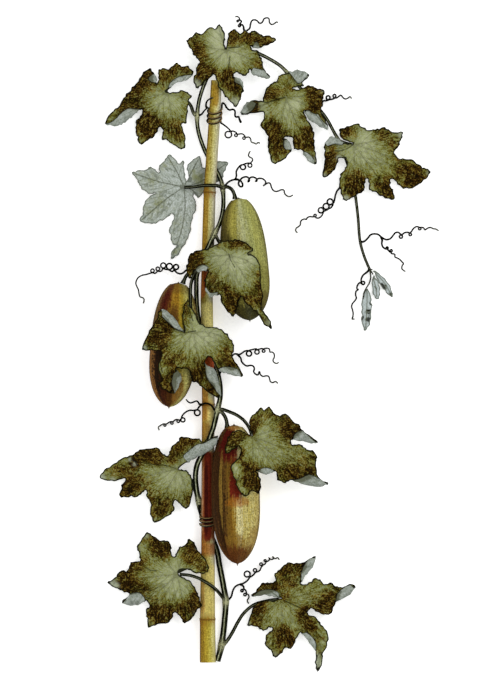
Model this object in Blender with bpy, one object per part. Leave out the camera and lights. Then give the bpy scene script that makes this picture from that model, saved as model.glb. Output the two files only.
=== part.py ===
"""A climbing gourd vine with its fruits and the bamboo cane that it winds round, laid down flat.

The plant lies on a surface at z = 0 with its upper end towards +Y and its leaves facing up.
Places across the surface are in drawing units, x to the right and y down the sheet, because the
plant is laid out like a pressed specimen. Heights above the surface are in millimetres.
"""

import math

import bmesh
import bpy
from mathutils import Vector
from mathutils.geometry import delaunay_2d_cdt

# Driving dimensions, in metres
FRUIT_LENGTH = 0.122
STEM_RADIUS = 0.0025
STEM_TIP_RADIUS = 0.0012
PETIOLE_RADIUS = 0.0013
STALK_RADIUS = 0.0016
TENDRIL_RADIUS = 0.00045
BLADE = 0.0007
CURL_RADIUS = 0.0015
CANE_LIFT = 0.0056
GAP = 0.00035

# How far apart the sections of each kind of stem are, in metres
STEM_SPACING = 0.011
PETIOLE_SPACING = 0.007
YOUNG_PETIOLE_SPACING = 0.004
STALK_SPACING = 0.005
TENDRIL_SPACING = 0.0055

# Tubes have 4 + 2 * roundness sides
CANE_ROUNDNESS = 6
STEM_ROUNDNESS = 2
PETIOLE_ROUNDNESS = 1
TENDRIL_ROUNDNESS = 0
SMOOTH_ANGLE = 40.0

# The sheet: the largest fruit spans this many drawing units, and the origin is this point on it
FRUIT_UNITS = 140.0
UNIT = FRUIT_LENGTH / FRUIT_UNITS
ORIGIN = (269.0, 343.5)
MM = 0.001

# Each joint of the cane: distance down the sheet, centre, width
CANE = [(661.5, 208.0, 16.0), (619, 207.6, 15.2), (545, 208.0, 13.4), (480, 208.0, 12.8),
        (405, 208.4, 12.6), (300, 206.8, 12.2), (230, 208.6, 12.2), (190, 209.8, 12.0),
        (130, 213.8, 11.4), (81, 216.6, 10.8)]
CANE_JOINTS = (619, 405, 193)
JOINT_SWELL = 0.0006
JOINT_REACH = 2.6
JOINT_SHOULDER = 0.8

# The main stem from foot to tip: x, y, height in millimetres
STEM = [(217.5, 661, 2.9), (221.5, 645, 3.0), (224.5, 622, 3.1), (225.7, 601, 3.3), (223.5, 586, 3.1),
        (219.5, 565, 2.9), (216.5, 549, 2.8), (208.5, 530, 2.8), (201.5, 513, 3.0), (198.8, 501, 5.0),
        (196.5, 489, 9.0), (195.6, 476, 13.5), (197.4, 464, 17.6), (202.6, 453, 20.0),
        (209.6, 438, 20.6), (214.4, 424, 20.0), (217.6, 409.6, 17.5), (220.3, 397, 12.5),
        (220.0, 384, 8.0), (217.0, 371, 4.0), (210.5, 355, 2.7), (204.0, 338, 2.7), (198.8, 320, 2.8),
        (196.8, 304, 3.2), (196.4, 290, 6.5), (196.6, 279, 12.0), (198.5, 269, 16.5),
        (202.8, 258, 19.6), (208.8, 246, 20.0), (215.0, 234, 18.6), (220.0, 223, 14.5),
        (223.0, 210, 10.0), (223.4, 197, 7.5), (222.6, 188.5, 6.5), (221.0, 180.5, 4.8),
        (217.0, 172, 3.45), (211.5, 162.5, 3.4), (205.9, 153, 3.5), (201.0, 140.6, 4.5),
        (197.8, 128, 6.0), (197.2, 116.5, 7.0), (198.5, 104.5, 8.0), (201.0, 94, 9.0),
        (205.2, 83, 10.0), (210.5, 72, 10.5), (220, 62.5, 10.5), (238, 54, 10.0), (250, 52, 9.5),
        (258.7, 54.2, 9.0), (269.5, 59.5, 8.5), (280, 66, 8.0), (288, 74, 8.0), (300, 88, 7.5),
        (312, 101, 7.0), (321.7, 112.5, 6.5), (327.5, 120.5, 6.2), (333.7, 132, 6.0), (339, 142, 6.0),
        (346, 160, 5.0), (351, 178, 4.6), (354.4, 196.5, 4.2), (357.0, 218, 4.0), (359.2, 240, 4.0),
        (364.0, 256, 4.0), (369.6, 269.5, 4.0)]

PETIOLES = {
    "leaf_01": [(197.2, 116.5, 7.0), (193.5, 113, 7.6), (190.2, 105, 8.6), (183, 99, 10.0),
                (172, 95.8, 10.8)],
    "leaf_02": [(211.5, 70.5, 10.5), (218, 63, 13.5), (224, 55, 17.0), (226.4, 52, 17.9)],
    "leaf_03": [(288, 74, 8.0), (287.4, 83, 9.6), (286.6, 94, 11.8)],
    "leaf_04": [(338.6, 141.4, 6.0), (345, 143.4, 8.8), (351.5, 145, 10.8)],
    "leaf_05": [(222.6, 188.5, 6.5), (220.4, 187.0, 11.0), (217.2, 186.2, 16.4), (213, 186, 19.4),
                (206.6, 186, 19.4), (202.2, 186.2, 16.4), (198.6, 186.6, 11.0), (193.5, 187.2, 7.2),
                (184.5, 187.6, 5.4)],
    "leaf_06": [(215, 234, 18.6), (217.8, 240, 24.5), (221.5, 246, 31.5), (226, 252, 37.0),
                (229.6, 256, 39.4)],
    "leaf_07": [(198.5, 269, 16.5), (194.5, 275, 20.5), (191.4, 284, 26.0), (190.8, 296, 31.5),
                (191.6, 310, 34.8), (194.4, 328, 36.4)],
    "leaf_08": [(198.8, 501, 5.0), (194.9, 490, 7.2), (191.4, 480, 9.4), (186, 473.4, 10.4),
                (180.6, 470, 10.8)],
    "leaf_09": [(217.6, 409.6, 17.5), (222.5, 409.2, 21.0), (229, 411.3, 25.5), (236.7, 414.6, 30.0),
                (244, 420, 34.0), (249, 427, 36.8), (251.6, 434, 38.2)],
    "leaf_10": [(225.7, 601, 3.3), (221.6, 595.5, 8.0), (217.6, 590.4, 14.5), (213, 586, 19.4),
                (208, 582.4, 20.8), (203, 579.4, 20.2), (198, 577, 18.6), (190, 574.6, 16.4),
                (180, 573.6, 15.2)],
    "leaf_11": [(222.8, 645, 3.0), (227.5, 640, 4.6), (233, 631, 6.0), (238, 621.5, 7.4),
                (244, 612.5, 8.8), (254, 604.2, 10.2), (267, 600.2, 11.0), (279, 598.4, 11.2)],
}

# Each fruit: the stalk's end of its axis, its tip, its radius and the height of its axis
FRUITS = {
    "fruit_upper": {"top": (240, 198), "tip": (250, 322), "radius": 23.5, "crown": 0.56},
    "fruit_left": {"top": (179, 282), "tip": (170, 408), "radius": 23.0, "crown": 0.52},
    "fruit_lower": {"top": (235, 424), "tip": (239.5, 564), "radius": 23.6, "crown": 0.54},
}
STALKS = {
    "fruit_upper": [(222.6, 188.5, 6.5), (227.5, 186.8, 11.5), (232.6, 188.8, 17.0)],
    "fruit_left": [(198.5, 269, 16.5), (192, 270.6, 17.6), (185.5, 273, 19.4)],
    "fruit_lower": [(217.6, 409.6, 17.5), (222.3, 411.6, 19.6), (227.4, 415, 20.9)],
}
FRUIT_SINK = 0.0003
FRUIT_SIDES = 22
FRUIT_RINGS = 17
STALK_LEAD = 0.004

# The fruit's outline: a blunt shoulder, a fuller belly and a short beak
SHOULDER_POWER = 2.6
SHOULDER_ROUNDNESS = 0.5
BELLY_POWER = 2.5
BELLY_ROUNDNESS = 0.56
BELLY_END = 0.965
BEAK_RADIUS = 0.17
BEAK_START = 0.7
BEAK_RISE = 0.26

# Every tendril is one or more wires. A wire is points x, y, height, with coils between them:
# a coil is ("coil", number of turns, radius in drawing units)
TENDRILS = {
    "tendril_01": [
        [(240, 53.6, 9.8), (243, 44, 9.6), (245.6, 33, 9.4), (249.5, 29, 8), (250.6, 24, 7),
         (252.5, 20.4, 6), (256, 20, 5), (260.4, 23.8, 4), (264, 19, 3.5), (268, 18, 3.5),
         (270.4, 23.4, 3), (274, 24, 2.5), (277.6, 22, 2.2)],
        [(245.6, 33, 9.4), (244.4, 30, 8.6), ("coil", 3, 2.5), (238, 19, 5), (235.6, 16, 4)],
    ],
    "tendril_03": [
        [(317, 107, 6.8), (323, 101.4, 6), (325.5, 100, 5), ("coil", 2, 1.8), (338, 95.5, 3.6),
         (344, 98.6, 2.6), (348, 98, 2), (351, 99.2, 1.8)],
    ],
    "tendril_04": [
        [(222.6, 188.5, 6.5), (226, 184.2, 7.6), (230, 181.6, 8), (235, 179.8, 8), (236.4, 173, 7.4),
         (238, 167.6, 6.6), ("coil", 3, 2.4), (250.5, 164.4, 5), (254, 160.6, 4.4), (250, 156.5, 3.2),
         (249.6, 152, 2.4)],
        [(235, 179.8, 8), (239, 180.2, 7.4), ("coil", 4, 2.6), (264, 180.6, 4), (270.5, 186, 3.2),
         (276, 191, 2.6), (282, 190, 2.2), (288, 196, 1.8), (292.5, 194.5, 1.6)],
    ],
    "tendril_05": [
        [(198, 270.5, 16), (191, 268.6, 12.5), (184, 270.6, 8.6), (179, 269.6, 6.4),
         ("coil", 5, 3.1), (151, 271.6, 4), (145, 274.2, 3), (138, 277.6, 2.4), (136.2, 283, 2),
         (139.4, 290, 1.8), (139.4, 296.6, 1.6), (144, 300, 1.4), (143.5, 304, 1.4)],
    ],
    "tendril_06": [
        [(218.4, 376, 6), (224, 366, 8.6), (231, 357, 9), (237.6, 354.6, 8), (243, 351.6, 6.4),
         ("coil", 4, 2.4), (267, 351, 3.6), (274, 356, 2.4), (278.6, 363, 1.8)],
        [(237.6, 354.6, 8), (241, 362, 6), (247, 366, 5), (252, 367, 4.6), ("coil", 2, 1.8),
         (264, 377, 3), (270, 380.4, 2), (277, 383, 1.6)],
    ],
    "tendril_07": [
        [(217.6, 409.6, 17.5), (214, 407, 19.6), (209, 404, 20), (203.4, 404, 19.4),
         (199.4, 406.4, 15), (198, 410, 10), ("coil", 1, 2.6), (191, 410, 7), (184, 414.6, 5.4),
         ("coil", 5, 2.0), (162, 424.8, 3), (159.6, 430.6, 2)],
        [(203.4, 404, 19.4), (198, 401.6, 15.6), (193, 402.6, 11), (189.5, 401, 8.6),
         (186, 399, 7.6)],
    ],
    "tendril_08": [
        [(349, 171, 4.8), (343, 181, 4.2), (338.4, 189, 4), (335.4, 198, 5), (332, 204, 5.4),
         ("coil", 4, 2.9), (317.5, 215.5, 4.6), (309, 216.4, 3.4), (301.4, 220.4, 2.6),
         (299.8, 225.6, 2), (296, 229.4, 1.6), (297.6, 233, 1.4)],
    ],
    "tendril_09": [
        [(359.2, 240.4, 4), (364.5, 241, 4), (368.6, 235.4, 4), (373.4, 233.6, 4), (379, 236, 4.4),
         (386, 239.5, 4.6), (391.6, 238, 4.6), (396, 233.4, 4.6), ("coil", 3, 2.0),
         (412, 231, 3.8), (417, 227, 3.2), ("coil", 2, 1.3), (430, 228, 2.2), (434.5, 229, 1.8),
         (438.5, 231.4, 1.6)],
        [(379, 236, 4.4), (381.4, 241, 4), (382, 247, 3.6), ("coil", 3, 1.6), (396.5, 257.6, 2.8),
         (401.6, 260.6, 2.2), (402.4, 266, 1.8), (405.6, 271.4, 1.6)],
    ],
    "tendril_10": [
        [(368.6, 267, 4), (365, 270.8, 4), (361.4, 277, 3.6), ("coil", 2, 1.9), (356.6, 290, 3),
         (356.4, 297, 2.4), (352.4, 303, 2), (353.4, 311, 1.6), (352.6, 318.6, 1.4)],
    ],
    "tendril_12": [
        [(225.7, 601, 3.3), (230.4, 598.6, 3.6), (233, 591, 4), (237, 584.6, 4.6),
         (243, 582.4, 5), (248.6, 577, 5), ("coil", 5, 2.4), (273.5, 558.4, 3.2),
         (280, 557, 2)],
        [(238.6, 583.6, 4.8), (241.4, 588, 4), ("coil", 2, 1.7), (247.6, 598, 2.4),
         (249, 603.4, 1.6)],
    ],
}
COIL_STEPS = 6
COIL_LEAN = 0.62
COIL_DEPTH = 0.8
COIL_OPENING = 2.2
WRAP_STEPS = 10

# Tendrils that wind round the cane: from y, to y, turns, then the wires that run off
WRAPS = {
    "tendril_02": {
        "span": (104.5, 124.5), "turns": 4, "side": 0.0,
        "before": [(241.2, 123.6, 5), (238, 118, 6), (234.6, 112, 8), (229, 110, 10), (225, 106.6, 11)],
        "after": [(225, 126.4, 10), (229, 129.6, 7.6), ("coil", 3, 2.2), (250, 139.6, 3),
                  (254, 143.4, 2), (259.6, 143.6, 1.6)],
        "root": [(197.2, 116.5, 7.0), (201.6, 113.6, 9.6)], "root_turn": 1.5,
    },
    "tendril_11": {
        "span": (513.5, 527.5), "turns": 3, "side": math.pi,
        "before": [(199.6, 507.5, 4.4), (200.2, 510.5, 8)],
        "after": [], "root": None, "root_turn": 0,
    },
}

# Blades. "edge" is the outline as it shows from above. "curls" are stretches of the edge,
# from one numbered point to another, where the margin rolls up and over to the line "over".
# "rest" is the height of the blade in millimetres at points on it.
LEAVES = {
    "leaf_01": {
        "base": (168, 95),
        "edge": [(166.5, 92.3), (175, 93), (182.5, 91), (191.6, 96.5), (189, 102), (187.8, 112),
                 (186.2, 123), (181.8, 125.5), (185.6, 139), (183.5, 149.7), (173, 145),
                 (167.5, 140.8), (161.5, 138.8), (163.2, 131), (159.6, 127.8), (154.5, 136.5),
                 (146, 141.6), (140, 145), (137.2, 137.5), (135.5, 130), (136.6, 120.5),
                 (141.6, 115.5), (141.8, 109.8), (137, 112), (131, 117), (124.5, 122),
                 (117, 125.8), (105.3, 123.3), (111, 113.2), (119.5, 105.8), (123.5, 98.5),
                 (130.5, 90.5), (138.5, 81.5), (143.5, 73), (150, 69), (153.4, 73),
                 (156, 79), (157, 85.4), (158.6, 78), (158.7, 70.6), (164, 69), (170, 69),
                 (176.4, 63.4), (181.5, 66.8), (188.5, 66.8), (193.5, 74), (186, 79.8),
                 (176, 83.4), (169.6, 89.5)],
        "curls": [(22, 27, [(139.6, 109.4), (128, 108.8), (121, 113.6), (114.5, 120), (108, 124)]),
                  (35, 37, [(149.6, 76), (148.6, 81), (153.4, 85)]),
                  (45, 48, [(191, 75.2), (181, 76.4), (172, 81.6), (168.6, 88)])],
        "rest": [(168, 95, 13), (107, 124, 6), (150, 71, 11), (190, 71, 9), (183, 147, 5),
                 (140, 143, 5), (188, 103, 13.4)],
    },
    "leaf_02": {
        "base": (227, 51),
        "edge": [(225.4, 50.6), (224.5, 44), (225.2, 37), (222.4, 28.4), (219.5, 25.4),
                 (214.5, 29.4), (208.5, 28.3), (202.5, 35), (196.5, 33.3), (190.5, 38.5),
                 (186.5, 41.4), (188.5, 46), (192, 52), (195, 57.5), (199.8, 62.4), (196.6, 67.5),
                 (196.2, 73), (193.3, 81), (197.5, 89.4), (203, 84.5), (209.5, 79.4), (214.5, 76),
                 (217, 83), (219.4, 90), (222.6, 92.5), (225, 97.8), (229.4, 101.4), (235.5, 108),
                 (239.4, 102.5), (243.2, 92), (242.4, 84.4), (238, 79.6), (233, 78), (236.6, 73.5),
                 (241.4, 76), (245, 77.2), (248.5, 73.5), (250.4, 71), (254, 75.4), (260, 76.6),
                 (267.5, 79), (269, 75.4), (264, 70), (262.7, 63), (259.5, 55.5), (256.5, 50.8),
                 (252.6, 50.8), (251, 47.4), (256, 48.4), (261.5, 48), (268, 45.6), (276.3, 41.2),
                 (270, 36.5), (261.5, 36), (254.5, 31), (249.5, 33.6), (245, 31), (240, 34.2),
                 (233.5, 30), (228.6, 35), (227.1, 44)],
        "curls": [(29, 32, [(242, 88.4), (239, 85.6), (235.4, 84), (233.4, 80.6)]),
                  (37, 41, [(253.6, 68.6), (258, 69.6), (263.4, 70.6), (267.4, 73.4)]),
                  (47, 49, [(252.8, 44), (256.4, 42.2), (259.6, 45.4)])],
        "rest": [(227, 51, 20), (188, 42, 14), (219, 28, 15), (275, 41, 13), (258, 65, 15),
                 (267, 76, 12), (236, 104, 17.6), (232, 88, 19.4), (217, 82, 19.4), (197, 88, 15),
                 (207, 78, 17.6), (245, 33, 14.4)],
    },
    "leaf_03": {
        "base": (286, 98),
        "edge": [(262.4, 101), (263.6, 95), (268.4, 86.4), (276, 81.8), (280, 75.8), (287, 73.8),
                 (293, 72.8), (299, 71.7), (309, 75.6), (303, 82.6), (303, 86.4), (296, 87.8),
                 (292.5, 89.4), (300.5, 89.8), (307, 86.2), (313, 87), (317.6, 89.4), (323.4, 90),
                 (323.8, 96), (322.4, 101), (323, 105.6), (321, 112), (327.6, 125.4), (325.4, 129),
                 (314, 122.5), (308.4, 118.6), (304.6, 111.4), (306, 118), (312, 127), (314, 135),
                 (314.4, 143.5), (315.4, 153), (316.4, 164.4), (306.5, 158), (302, 150.5),
                 (294, 149), (292.5, 139.5), (288.4, 136.8), (285, 138.8), (289.6, 144.4),
                 (290.6, 151.6), (283.5, 160), (273, 164), (269.8, 156), (267.6, 147),
                 (267.8, 137), (260.5, 125.6), (264.5, 117), (261.4, 112.6), (250, 114.2),
                 (241.6, 115), (246, 104.6), (254, 101)],
        "curls": [(5, 8, [(294, 79.6), (298.4, 84.6), (304.4, 80.4)]),
                  (22, 26, [(321.4, 116), (313.6, 113.8), (308.6, 110.8)]),
                  (32, 34, [(313, 158), (307.4, 152.8)]),
                  (38, 40, [(283.2, 142), (284, 149)]),
                  (50, 52, [(246, 114.6), (253, 110.6), (256.6, 104)])],
        "rest": [(286, 98, 15), (268, 88, 12.6), (287, 78, 13.6), (306, 76, 10), (322, 92, 12.6),
                 (318, 110, 11.4), (326, 126, 9.6), (316, 162, 5), (273, 162, 5), (244, 111, 7)],
    },
    "leaf_04": {
        "base": (353, 145),
        "edge": [(352.6, 143.4), (345, 141.2), (339.4, 136), (340, 129.4), (349, 126.6),
                 (357, 124), (363.5, 128.4), (369, 130.5), (377, 129.4), (384.7, 127.7),
                 (392, 132.4), (402.5, 132.5), (401, 139), (398.4, 146.5), (394, 152.8),
                 (400, 159), (411, 159.5), (418, 164.6), (424, 168), (430.2, 171.4), (426, 179),
                 (416.5, 185.8), (411, 188.6), (401, 187.6), (395, 180.8), (390.4, 179.6),
                 (390.6, 186.8), (393, 191), (394, 199.6), (382, 197), (376, 192.8), (369, 190),
                 (368.6, 182), (366.4, 179), (364.5, 184), (364, 190.6), (357, 195), (351, 198.6),
                 (345, 201), (341.4, 196), (339.2, 184), (340.5, 174.5), (346.6, 166),
                 (345, 159), (340.6, 155.8), (337, 156), (336.8, 165), (331.5, 173.4),
                 (322.8, 178), (324, 165), (324.4, 153), (324.2, 146), (330, 138.4), (337, 139.6),
                 (345, 144.2)],
        "curls": [(51, 54, [(328.4, 146.8), (334, 144.8), (341, 146)])],
        "rest": [(353, 145, 13.2), (343, 131, 11.6), (357, 126, 12), (400, 135, 8), (428, 172, 5),
                 (392, 197, 4), (366, 182, 8.6), (346, 199, 8.4), (324, 175, 6), (329, 142, 10.6)],
    },
    "leaf_05": {
        "base": (184, 187),
        "edge": [(186.4, 181), (191, 180.4), (187.4, 171.4), (188, 164.8), (193.5, 159.4),
                 (199.4, 156.2), (202.6, 167.2), (208, 167), (219, 161.4), (228, 163),
                 (224, 172), (222.4, 178.4), (211, 186), (204.5, 192), (198, 197.6), (193, 192.6),
                 (195.6, 202), (196, 209.4), (191.6, 221.5), (190.4, 232), (185, 244),
                 (178, 255), (171.4, 258.6), (171.6, 251.6), (177.6, 245.6), (172, 243.6),
                 (170.6, 235), (169, 230.4), (173.8, 219), (172.4, 213.4), (166, 218.4),
                 (158.5, 222), (152, 224), (140.4, 221.4), (143, 213), (143.4, 206),
                 (148.4, 197.4), (155.6, 193.2), (148.5, 193.7), (140.4, 187), (137.6, 180.4),
                 (132, 173.4), (137, 171), (146.5, 169.8), (151, 166.5), (158.6, 172.6),
                 (159.4, 165.2), (164.6, 161), (168, 154.6), (174, 157.6), (178.8, 164),
                 (183.2, 160.6), (184.6, 172)],
        "curls": [],
        "rest": [(184, 187, 2.6), (134, 174, 4), (168, 157, 3), (199, 160, 1.0), (212, 168, 0.9),
                 (226, 164, 0.9), (220, 178, 0.9), (208, 180, 0.9), (199, 194, 1.0),
                 (196, 180, 1.2), (192, 205, 1.6), (172, 256, 3), (141, 220, 4)],
    },
    "leaf_06": {
        "base": (230, 256),
        "edge": [(222, 242), (214, 246.4), (206, 249.8), (197, 251.2), (190, 255), (188, 262),
                 (186.4, 270), (190, 279.4), (194.4, 271.6), (200, 271.6), (208.4, 271),
                 (205.4, 279), (205.4, 287), (210, 296.6), (219.8, 294.6), (221, 301.6),
                 (226, 310), (233.4, 316.6), (237, 309), (240.5, 297.5), (246, 304), (252, 309),
                 (258.6, 315.4), (264, 324.5), (271.4, 328.4), (269.5, 319), (261.6, 309.4),
                 (262.8, 296), (260.6, 283), (260.8, 270), (256, 258), (247.6, 254.2),
                 (253.6, 251.4), (246, 243.4), (237, 240.4), (229.5, 241.4)],
        "curls": [(8, 10, [(195.6, 268), (202.6, 265), (208.6, 267.6)]),
                  (12, 14, [(206.6, 287.6), (210.4, 293), (218.6, 292.4)])],
        "rest": [(230, 256, 42), (215, 247, 36), (205, 258, 30), (189, 262, 27), (190, 278, 26),
                 (207, 290, 28), (222, 285, 41), (240, 270, 46.4), (252, 285, 46), (261, 275, 42),
                 (248, 300, 42), (232, 314, 33), (270, 326, 25), (252, 251, 45), (237, 243, 43.4)],
    },
    "leaf_07": {
        "base": (194, 332),
        "edge": [(184.8, 332.6), (182.6, 321), (183.6, 310), (188, 299.4), (191.6, 307.5),
                 (196.4, 314), (198.6, 321.4), (208, 327.2), (215, 327), (223.5, 331),
                 (230.5, 338.5), (234.4, 347.5), (232.6, 356), (238.6, 366.6), (243, 375.4),
                 (233, 374.4), (224, 371.8), (217.6, 368.6), (213, 360.5), (210, 356.6),
                 (205, 361), (208, 367), (214.6, 370), (218, 384), (219.6, 397.4), (208, 392),
                 (198, 383.4), (192.6, 380.6), (191, 375), (189, 369.4), (182, 368.2),
                 (176, 369.6), (180.4, 373.4), (180.8, 380.6), (174.8, 392.6), (166, 390.6),
                 (159.2, 383.6), (162.6, 379), (158.6, 368), (162.4, 352.8), (152, 350.4),
                 (143, 349.6), (146.5, 338.6), (151.5, 328.5), (156.6, 321), (160.4, 310.6),
                 (167, 312), (175, 319.6)],
        "curls": [(14, 17, [(237, 368.2), (229, 366.4), (221.6, 367)]),
                  (20, 24, [(206, 373), (209, 381.4), (213.6, 387)]),
                  (31, 34, [(173.4, 375), (172.2, 384)]),
                  (45, 48, [(163, 317), (168.6, 323), (177, 329.6)])],
        "rest": [(194, 332, 39.4), (188, 303, 37.6), (191, 315, 38.6), (175, 343, 46.4),
                 (165, 330, 45), (162, 314, 41), (150, 338, 41), (144, 349, 38), (165, 362, 46),
                 (180, 362, 46), (164, 386, 40), (176, 388, 39.4), (190, 350, 43), (205, 340, 33),
                 (215, 329, 27), (232, 342, 22), (240, 370, 17), (205, 370, 29), (218, 394, 20)],
    },
    "leaf_08": {
        "base": (179, 469),
        "edge": [(178.4, 468.8), (186, 469.8), (191, 475), (192.6, 484), (192.8, 494),
                 (187.6, 508.6), (180, 504), (176, 499.8), (173.6, 504), (174.4, 510.6),
                 (166, 517), (154.5, 522.4), (150.2, 511), (150.8, 503.4), (147, 496.5),
                 (146.4, 489.8), (142.6, 492.6), (138, 496.4), (129, 496.6), (120, 496.4),
                 (122, 485.4), (126, 478.4), (116, 480.6), (108, 480.6), (100, 477.6),
                 (104.5, 470), (114.5, 463.5), (123, 457.6), (132, 455), (140, 449.4), (149, 448.4),
                 (158.5, 447.6), (163.4, 453.8), (169, 454.4), (171, 447.6), (177.4, 441.4),
                 (182, 436), (191, 437.8), (199.5, 438.4), (203, 441), (210, 438.4),
                 (217.6, 435.4), (214, 445.6), (205, 452), (195, 457), (186.5, 462.4)],
        "curls": [(41, 45, [(210, 439), (204, 442.6), (197, 443.8), (189, 450), (183.4, 455.4)])],
        "rest": [(179, 469, 13.4), (187, 506, 10.4), (192, 484, 12.6), (155, 520, 5), (122, 494, 5),
                 (102, 477, 6), (130, 462, 11), (150, 450, 13), (184, 439, 20), (190, 455, 19.4),
                 (199, 448, 23.6), (208, 444, 25.6), (216, 437, 25.6)],
    },
    "leaf_09": {
        "base": (252.8, 436),
        "edge": [(252.4, 434.6), (249.6, 427), (250, 417.6), (255, 413), (260, 407.4),
                 (264, 409), (269.5, 406.6), (275, 413.8), (281, 414.6), (286.5, 413.4),
                 (293, 421), (300, 425), (301.6, 429.4), (309, 434.6), (317.2, 440.8),
                 (311, 442.4), (302, 440), (291, 439), (292.5, 443.9), (300.5, 444),
                 (306.5, 449), (312, 449.7), (317, 456), (315.6, 462), (318, 476.6),
                 (327.6, 482.4), (319, 485.6), (304, 483.2), (292, 479), (285, 482.2),
                 (277.5, 479), (275.6, 470.2), (266, 472.5), (256.4, 469.4), (260.6, 478),
                 (259, 492), (252, 489.6), (245, 495.6), (237.5, 487), (235, 478.5),
                 (230.6, 466), (238.6, 456.6), (241, 450.4), (238.4, 445.6), (232, 450),
                 (225.4, 452.6), (226.4, 442), (231, 432.4), (239, 429.4), (246.4, 432.4)],
        "curls": [(14, 17, [(306, 431.6), (300.5, 430), (294.4, 433.4)]),
                  (25, 28, [(317, 477), (308.6, 473.6), (300, 477.4)]),
                  (31, 33, [(270, 467.2), (263.4, 466.6)])],
        "rest": [(252.8, 436, 41), (250, 424, 39.6), (228, 446, 43), (234, 470, 47), (246, 490, 47),
                 (258, 486, 45), (258, 462, 46), (272, 445, 39), (262, 411, 30), (299, 427, 22),
                 (315, 441, 18), (314, 458, 20), (325, 482, 14), (284, 478, 28)],
    },
    "leaf_10": {
        "base": (177, 573.5),
        "edge": [(178, 572.4), (183, 568.6), (189, 569), (197, 572.6), (206.4, 572.2),
                 (209, 567), (205.4, 557.6), (198.6, 550.6), (195.5, 544), (189.5, 538.2),
                 (184.6, 544.8), (179.4, 546.4), (176, 553.6), (172.6, 555.2), (171.4, 551.4),
                 (171.6, 546), (167.6, 539.8), (161.5, 540.6), (154, 536), (147.2, 532),
                 (141, 540.4), (137, 546.4), (139, 553), (139.8, 560.4), (131, 562),
                 (128, 570), (119.5, 571), (115, 577.8), (107.6, 582.4), (114, 587),
                 (122, 590.7), (130, 594.6), (121.8, 601.2), (131, 604.2), (139.5, 603.2),
                 (146.4, 600.2), (149.2, 605.4), (145.7, 611), (147.3, 618), (148.3, 627.2),
                 (158, 624), (168, 622.4), (172.4, 617), (175.6, 611.6), (181, 617.4),
                 (185, 622.7), (193, 617), (197.4, 609), (201.4, 605.8), (199.6, 596.6),
                 (196, 588.4), (190.6, 580.4), (183, 576.2)],
        "curls": [(32, 35, [(130, 593.4), (139.4, 591.8), (144.8, 597)])],
        "rest": [(177, 573.5, 17.6), (206, 565, 20.8), (190, 542, 17), (198, 572, 21), (147, 536, 7),
                 (109, 582, 5), (124, 600, 6), (150, 624, 5), (186, 619, 11), (199, 601, 19.4),
                 (193, 585, 19.6)],
    },
    "leaf_11": {
        "base": (281, 598),
        "edge": [(281, 596.9), (272, 594.8), (264, 593.6), (251.4, 595.4), (257, 589),
                 (261.5, 583), (269, 582), (274.6, 581.4), (275, 573), (281, 567.6),
                 (287.5, 562.4), (296, 563), (304.6, 561.6), (315, 556), (311.6, 566.5),
                 (306, 573.4), (300.8, 582.6), (307, 583.4), (315, 578), (320, 579.4),
                 (324, 583.7), (331, 582.6), (337, 586.4), (344, 586.4), (351, 583.2),
                 (354.8, 586.8), (347, 595), (336, 601.6), (331.6, 612.5), (325, 614.4),
                 (317, 611.6), (311, 608), (307.4, 613.4), (316, 617), (321, 624), (327.8, 633),
                 (327, 645), (322.6, 654), (322.6, 662), (317.6, 671.8), (315.2, 662),
                 (315.6, 651), (308.5, 639.6), (300.5, 632), (296.2, 639), (291, 648.6),
                 (285.5, 647.4), (281, 653.6), (274, 657), (270.6, 649.6), (265.4, 645.6),
                 (266, 634.6), (272.4, 629), (270.6, 626.6), (263, 630.4), (256, 626),
                 (247.6, 624.6), (251, 612.6), (254.6, 604), (264, 600.3), (276, 599.2)],
        "curls": [(0, 3, [(277, 590.4), (268, 588.4), (259, 590.4)]),
                  (13, 16, [(307.4, 559.6), (301.8, 569), (300.6, 577)]),
                  (25, 27, [(350, 584), (341, 588.6), (336.2, 595)]),
                  (41, 43, [(316, 642), (308, 632.4)])],
        "rest": [(281, 598, 13.8), (264, 602, 13.8), (252, 594, 11.4), (272, 585, 12), (290, 566, 9),
                 (313, 558, 6), (352, 587, 6), (327, 611, 7), (326, 640, 7), (317, 668, 3.6),
                 (275, 654, 5), (249, 623, 7)],
    },
    "young_leaf_1": {
        "base": (367, 289.5),
        "edge": [(367.6, 288.6), (370.6, 296), (371.6, 305), (371, 318), (368.8, 326),
                 (365.3, 330.4), (362, 324), (361.4, 312), (362.4, 298), (364.8, 291)],
        "curls": [],
        "rest": [(367, 290, 4.4), (366, 328, 2.4)],
    },
    "young_leaf_2": {
        "base": (372.6, 277),
        "edge": [(373.4, 275.6), (377.6, 281), (379.8, 289), (378.8, 298.4), (374.4, 297.4),
                 (372.4, 290), (371.8, 281)],
        "curls": [],
        "rest": [(373, 277, 5.6), (377, 297, 3)],
    },
    "young_leaf_3": {
        "base": (373.6, 271.6),
        "edge": [(373.2, 270.2), (378.6, 273.4), (386, 280.4), (391.2, 288.4), (392.2, 297.4),
                 (386, 292.4), (380, 285), (376.4, 277.4)],
        "curls": [],
        "rest": [(374, 272, 5.6), (391, 295, 3)],
    },
}
YOUNG_PETIOLES = {
    "young_leaf_1": [(369.6, 269.5, 4.0), (370.6, 277, 4), (369.6, 283, 4), (368.2, 287.2, 4.2)],
    "young_leaf_2": [(369.6, 269.5, 4.0), (371.8, 272.6, 4.6), (372.8, 274.4, 5)],
    "young_leaf_3": [(369.6, 269.5, 4.0), (371.6, 269.6, 4.6), (372.2, 269.8, 5)],
}
YOUNG_PETIOLE_RADIUS = 0.0007
EDGE_STEPS = 2
CURL_ROWS = (0.5, 1.0)
CURL_START = 1.0
CURL_BULGE = 0.4
CURL_END_SLOPE = 2.2
CURL_TURN_SHARE = 0.7
REST_SOFTNESS = 36.0

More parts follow.
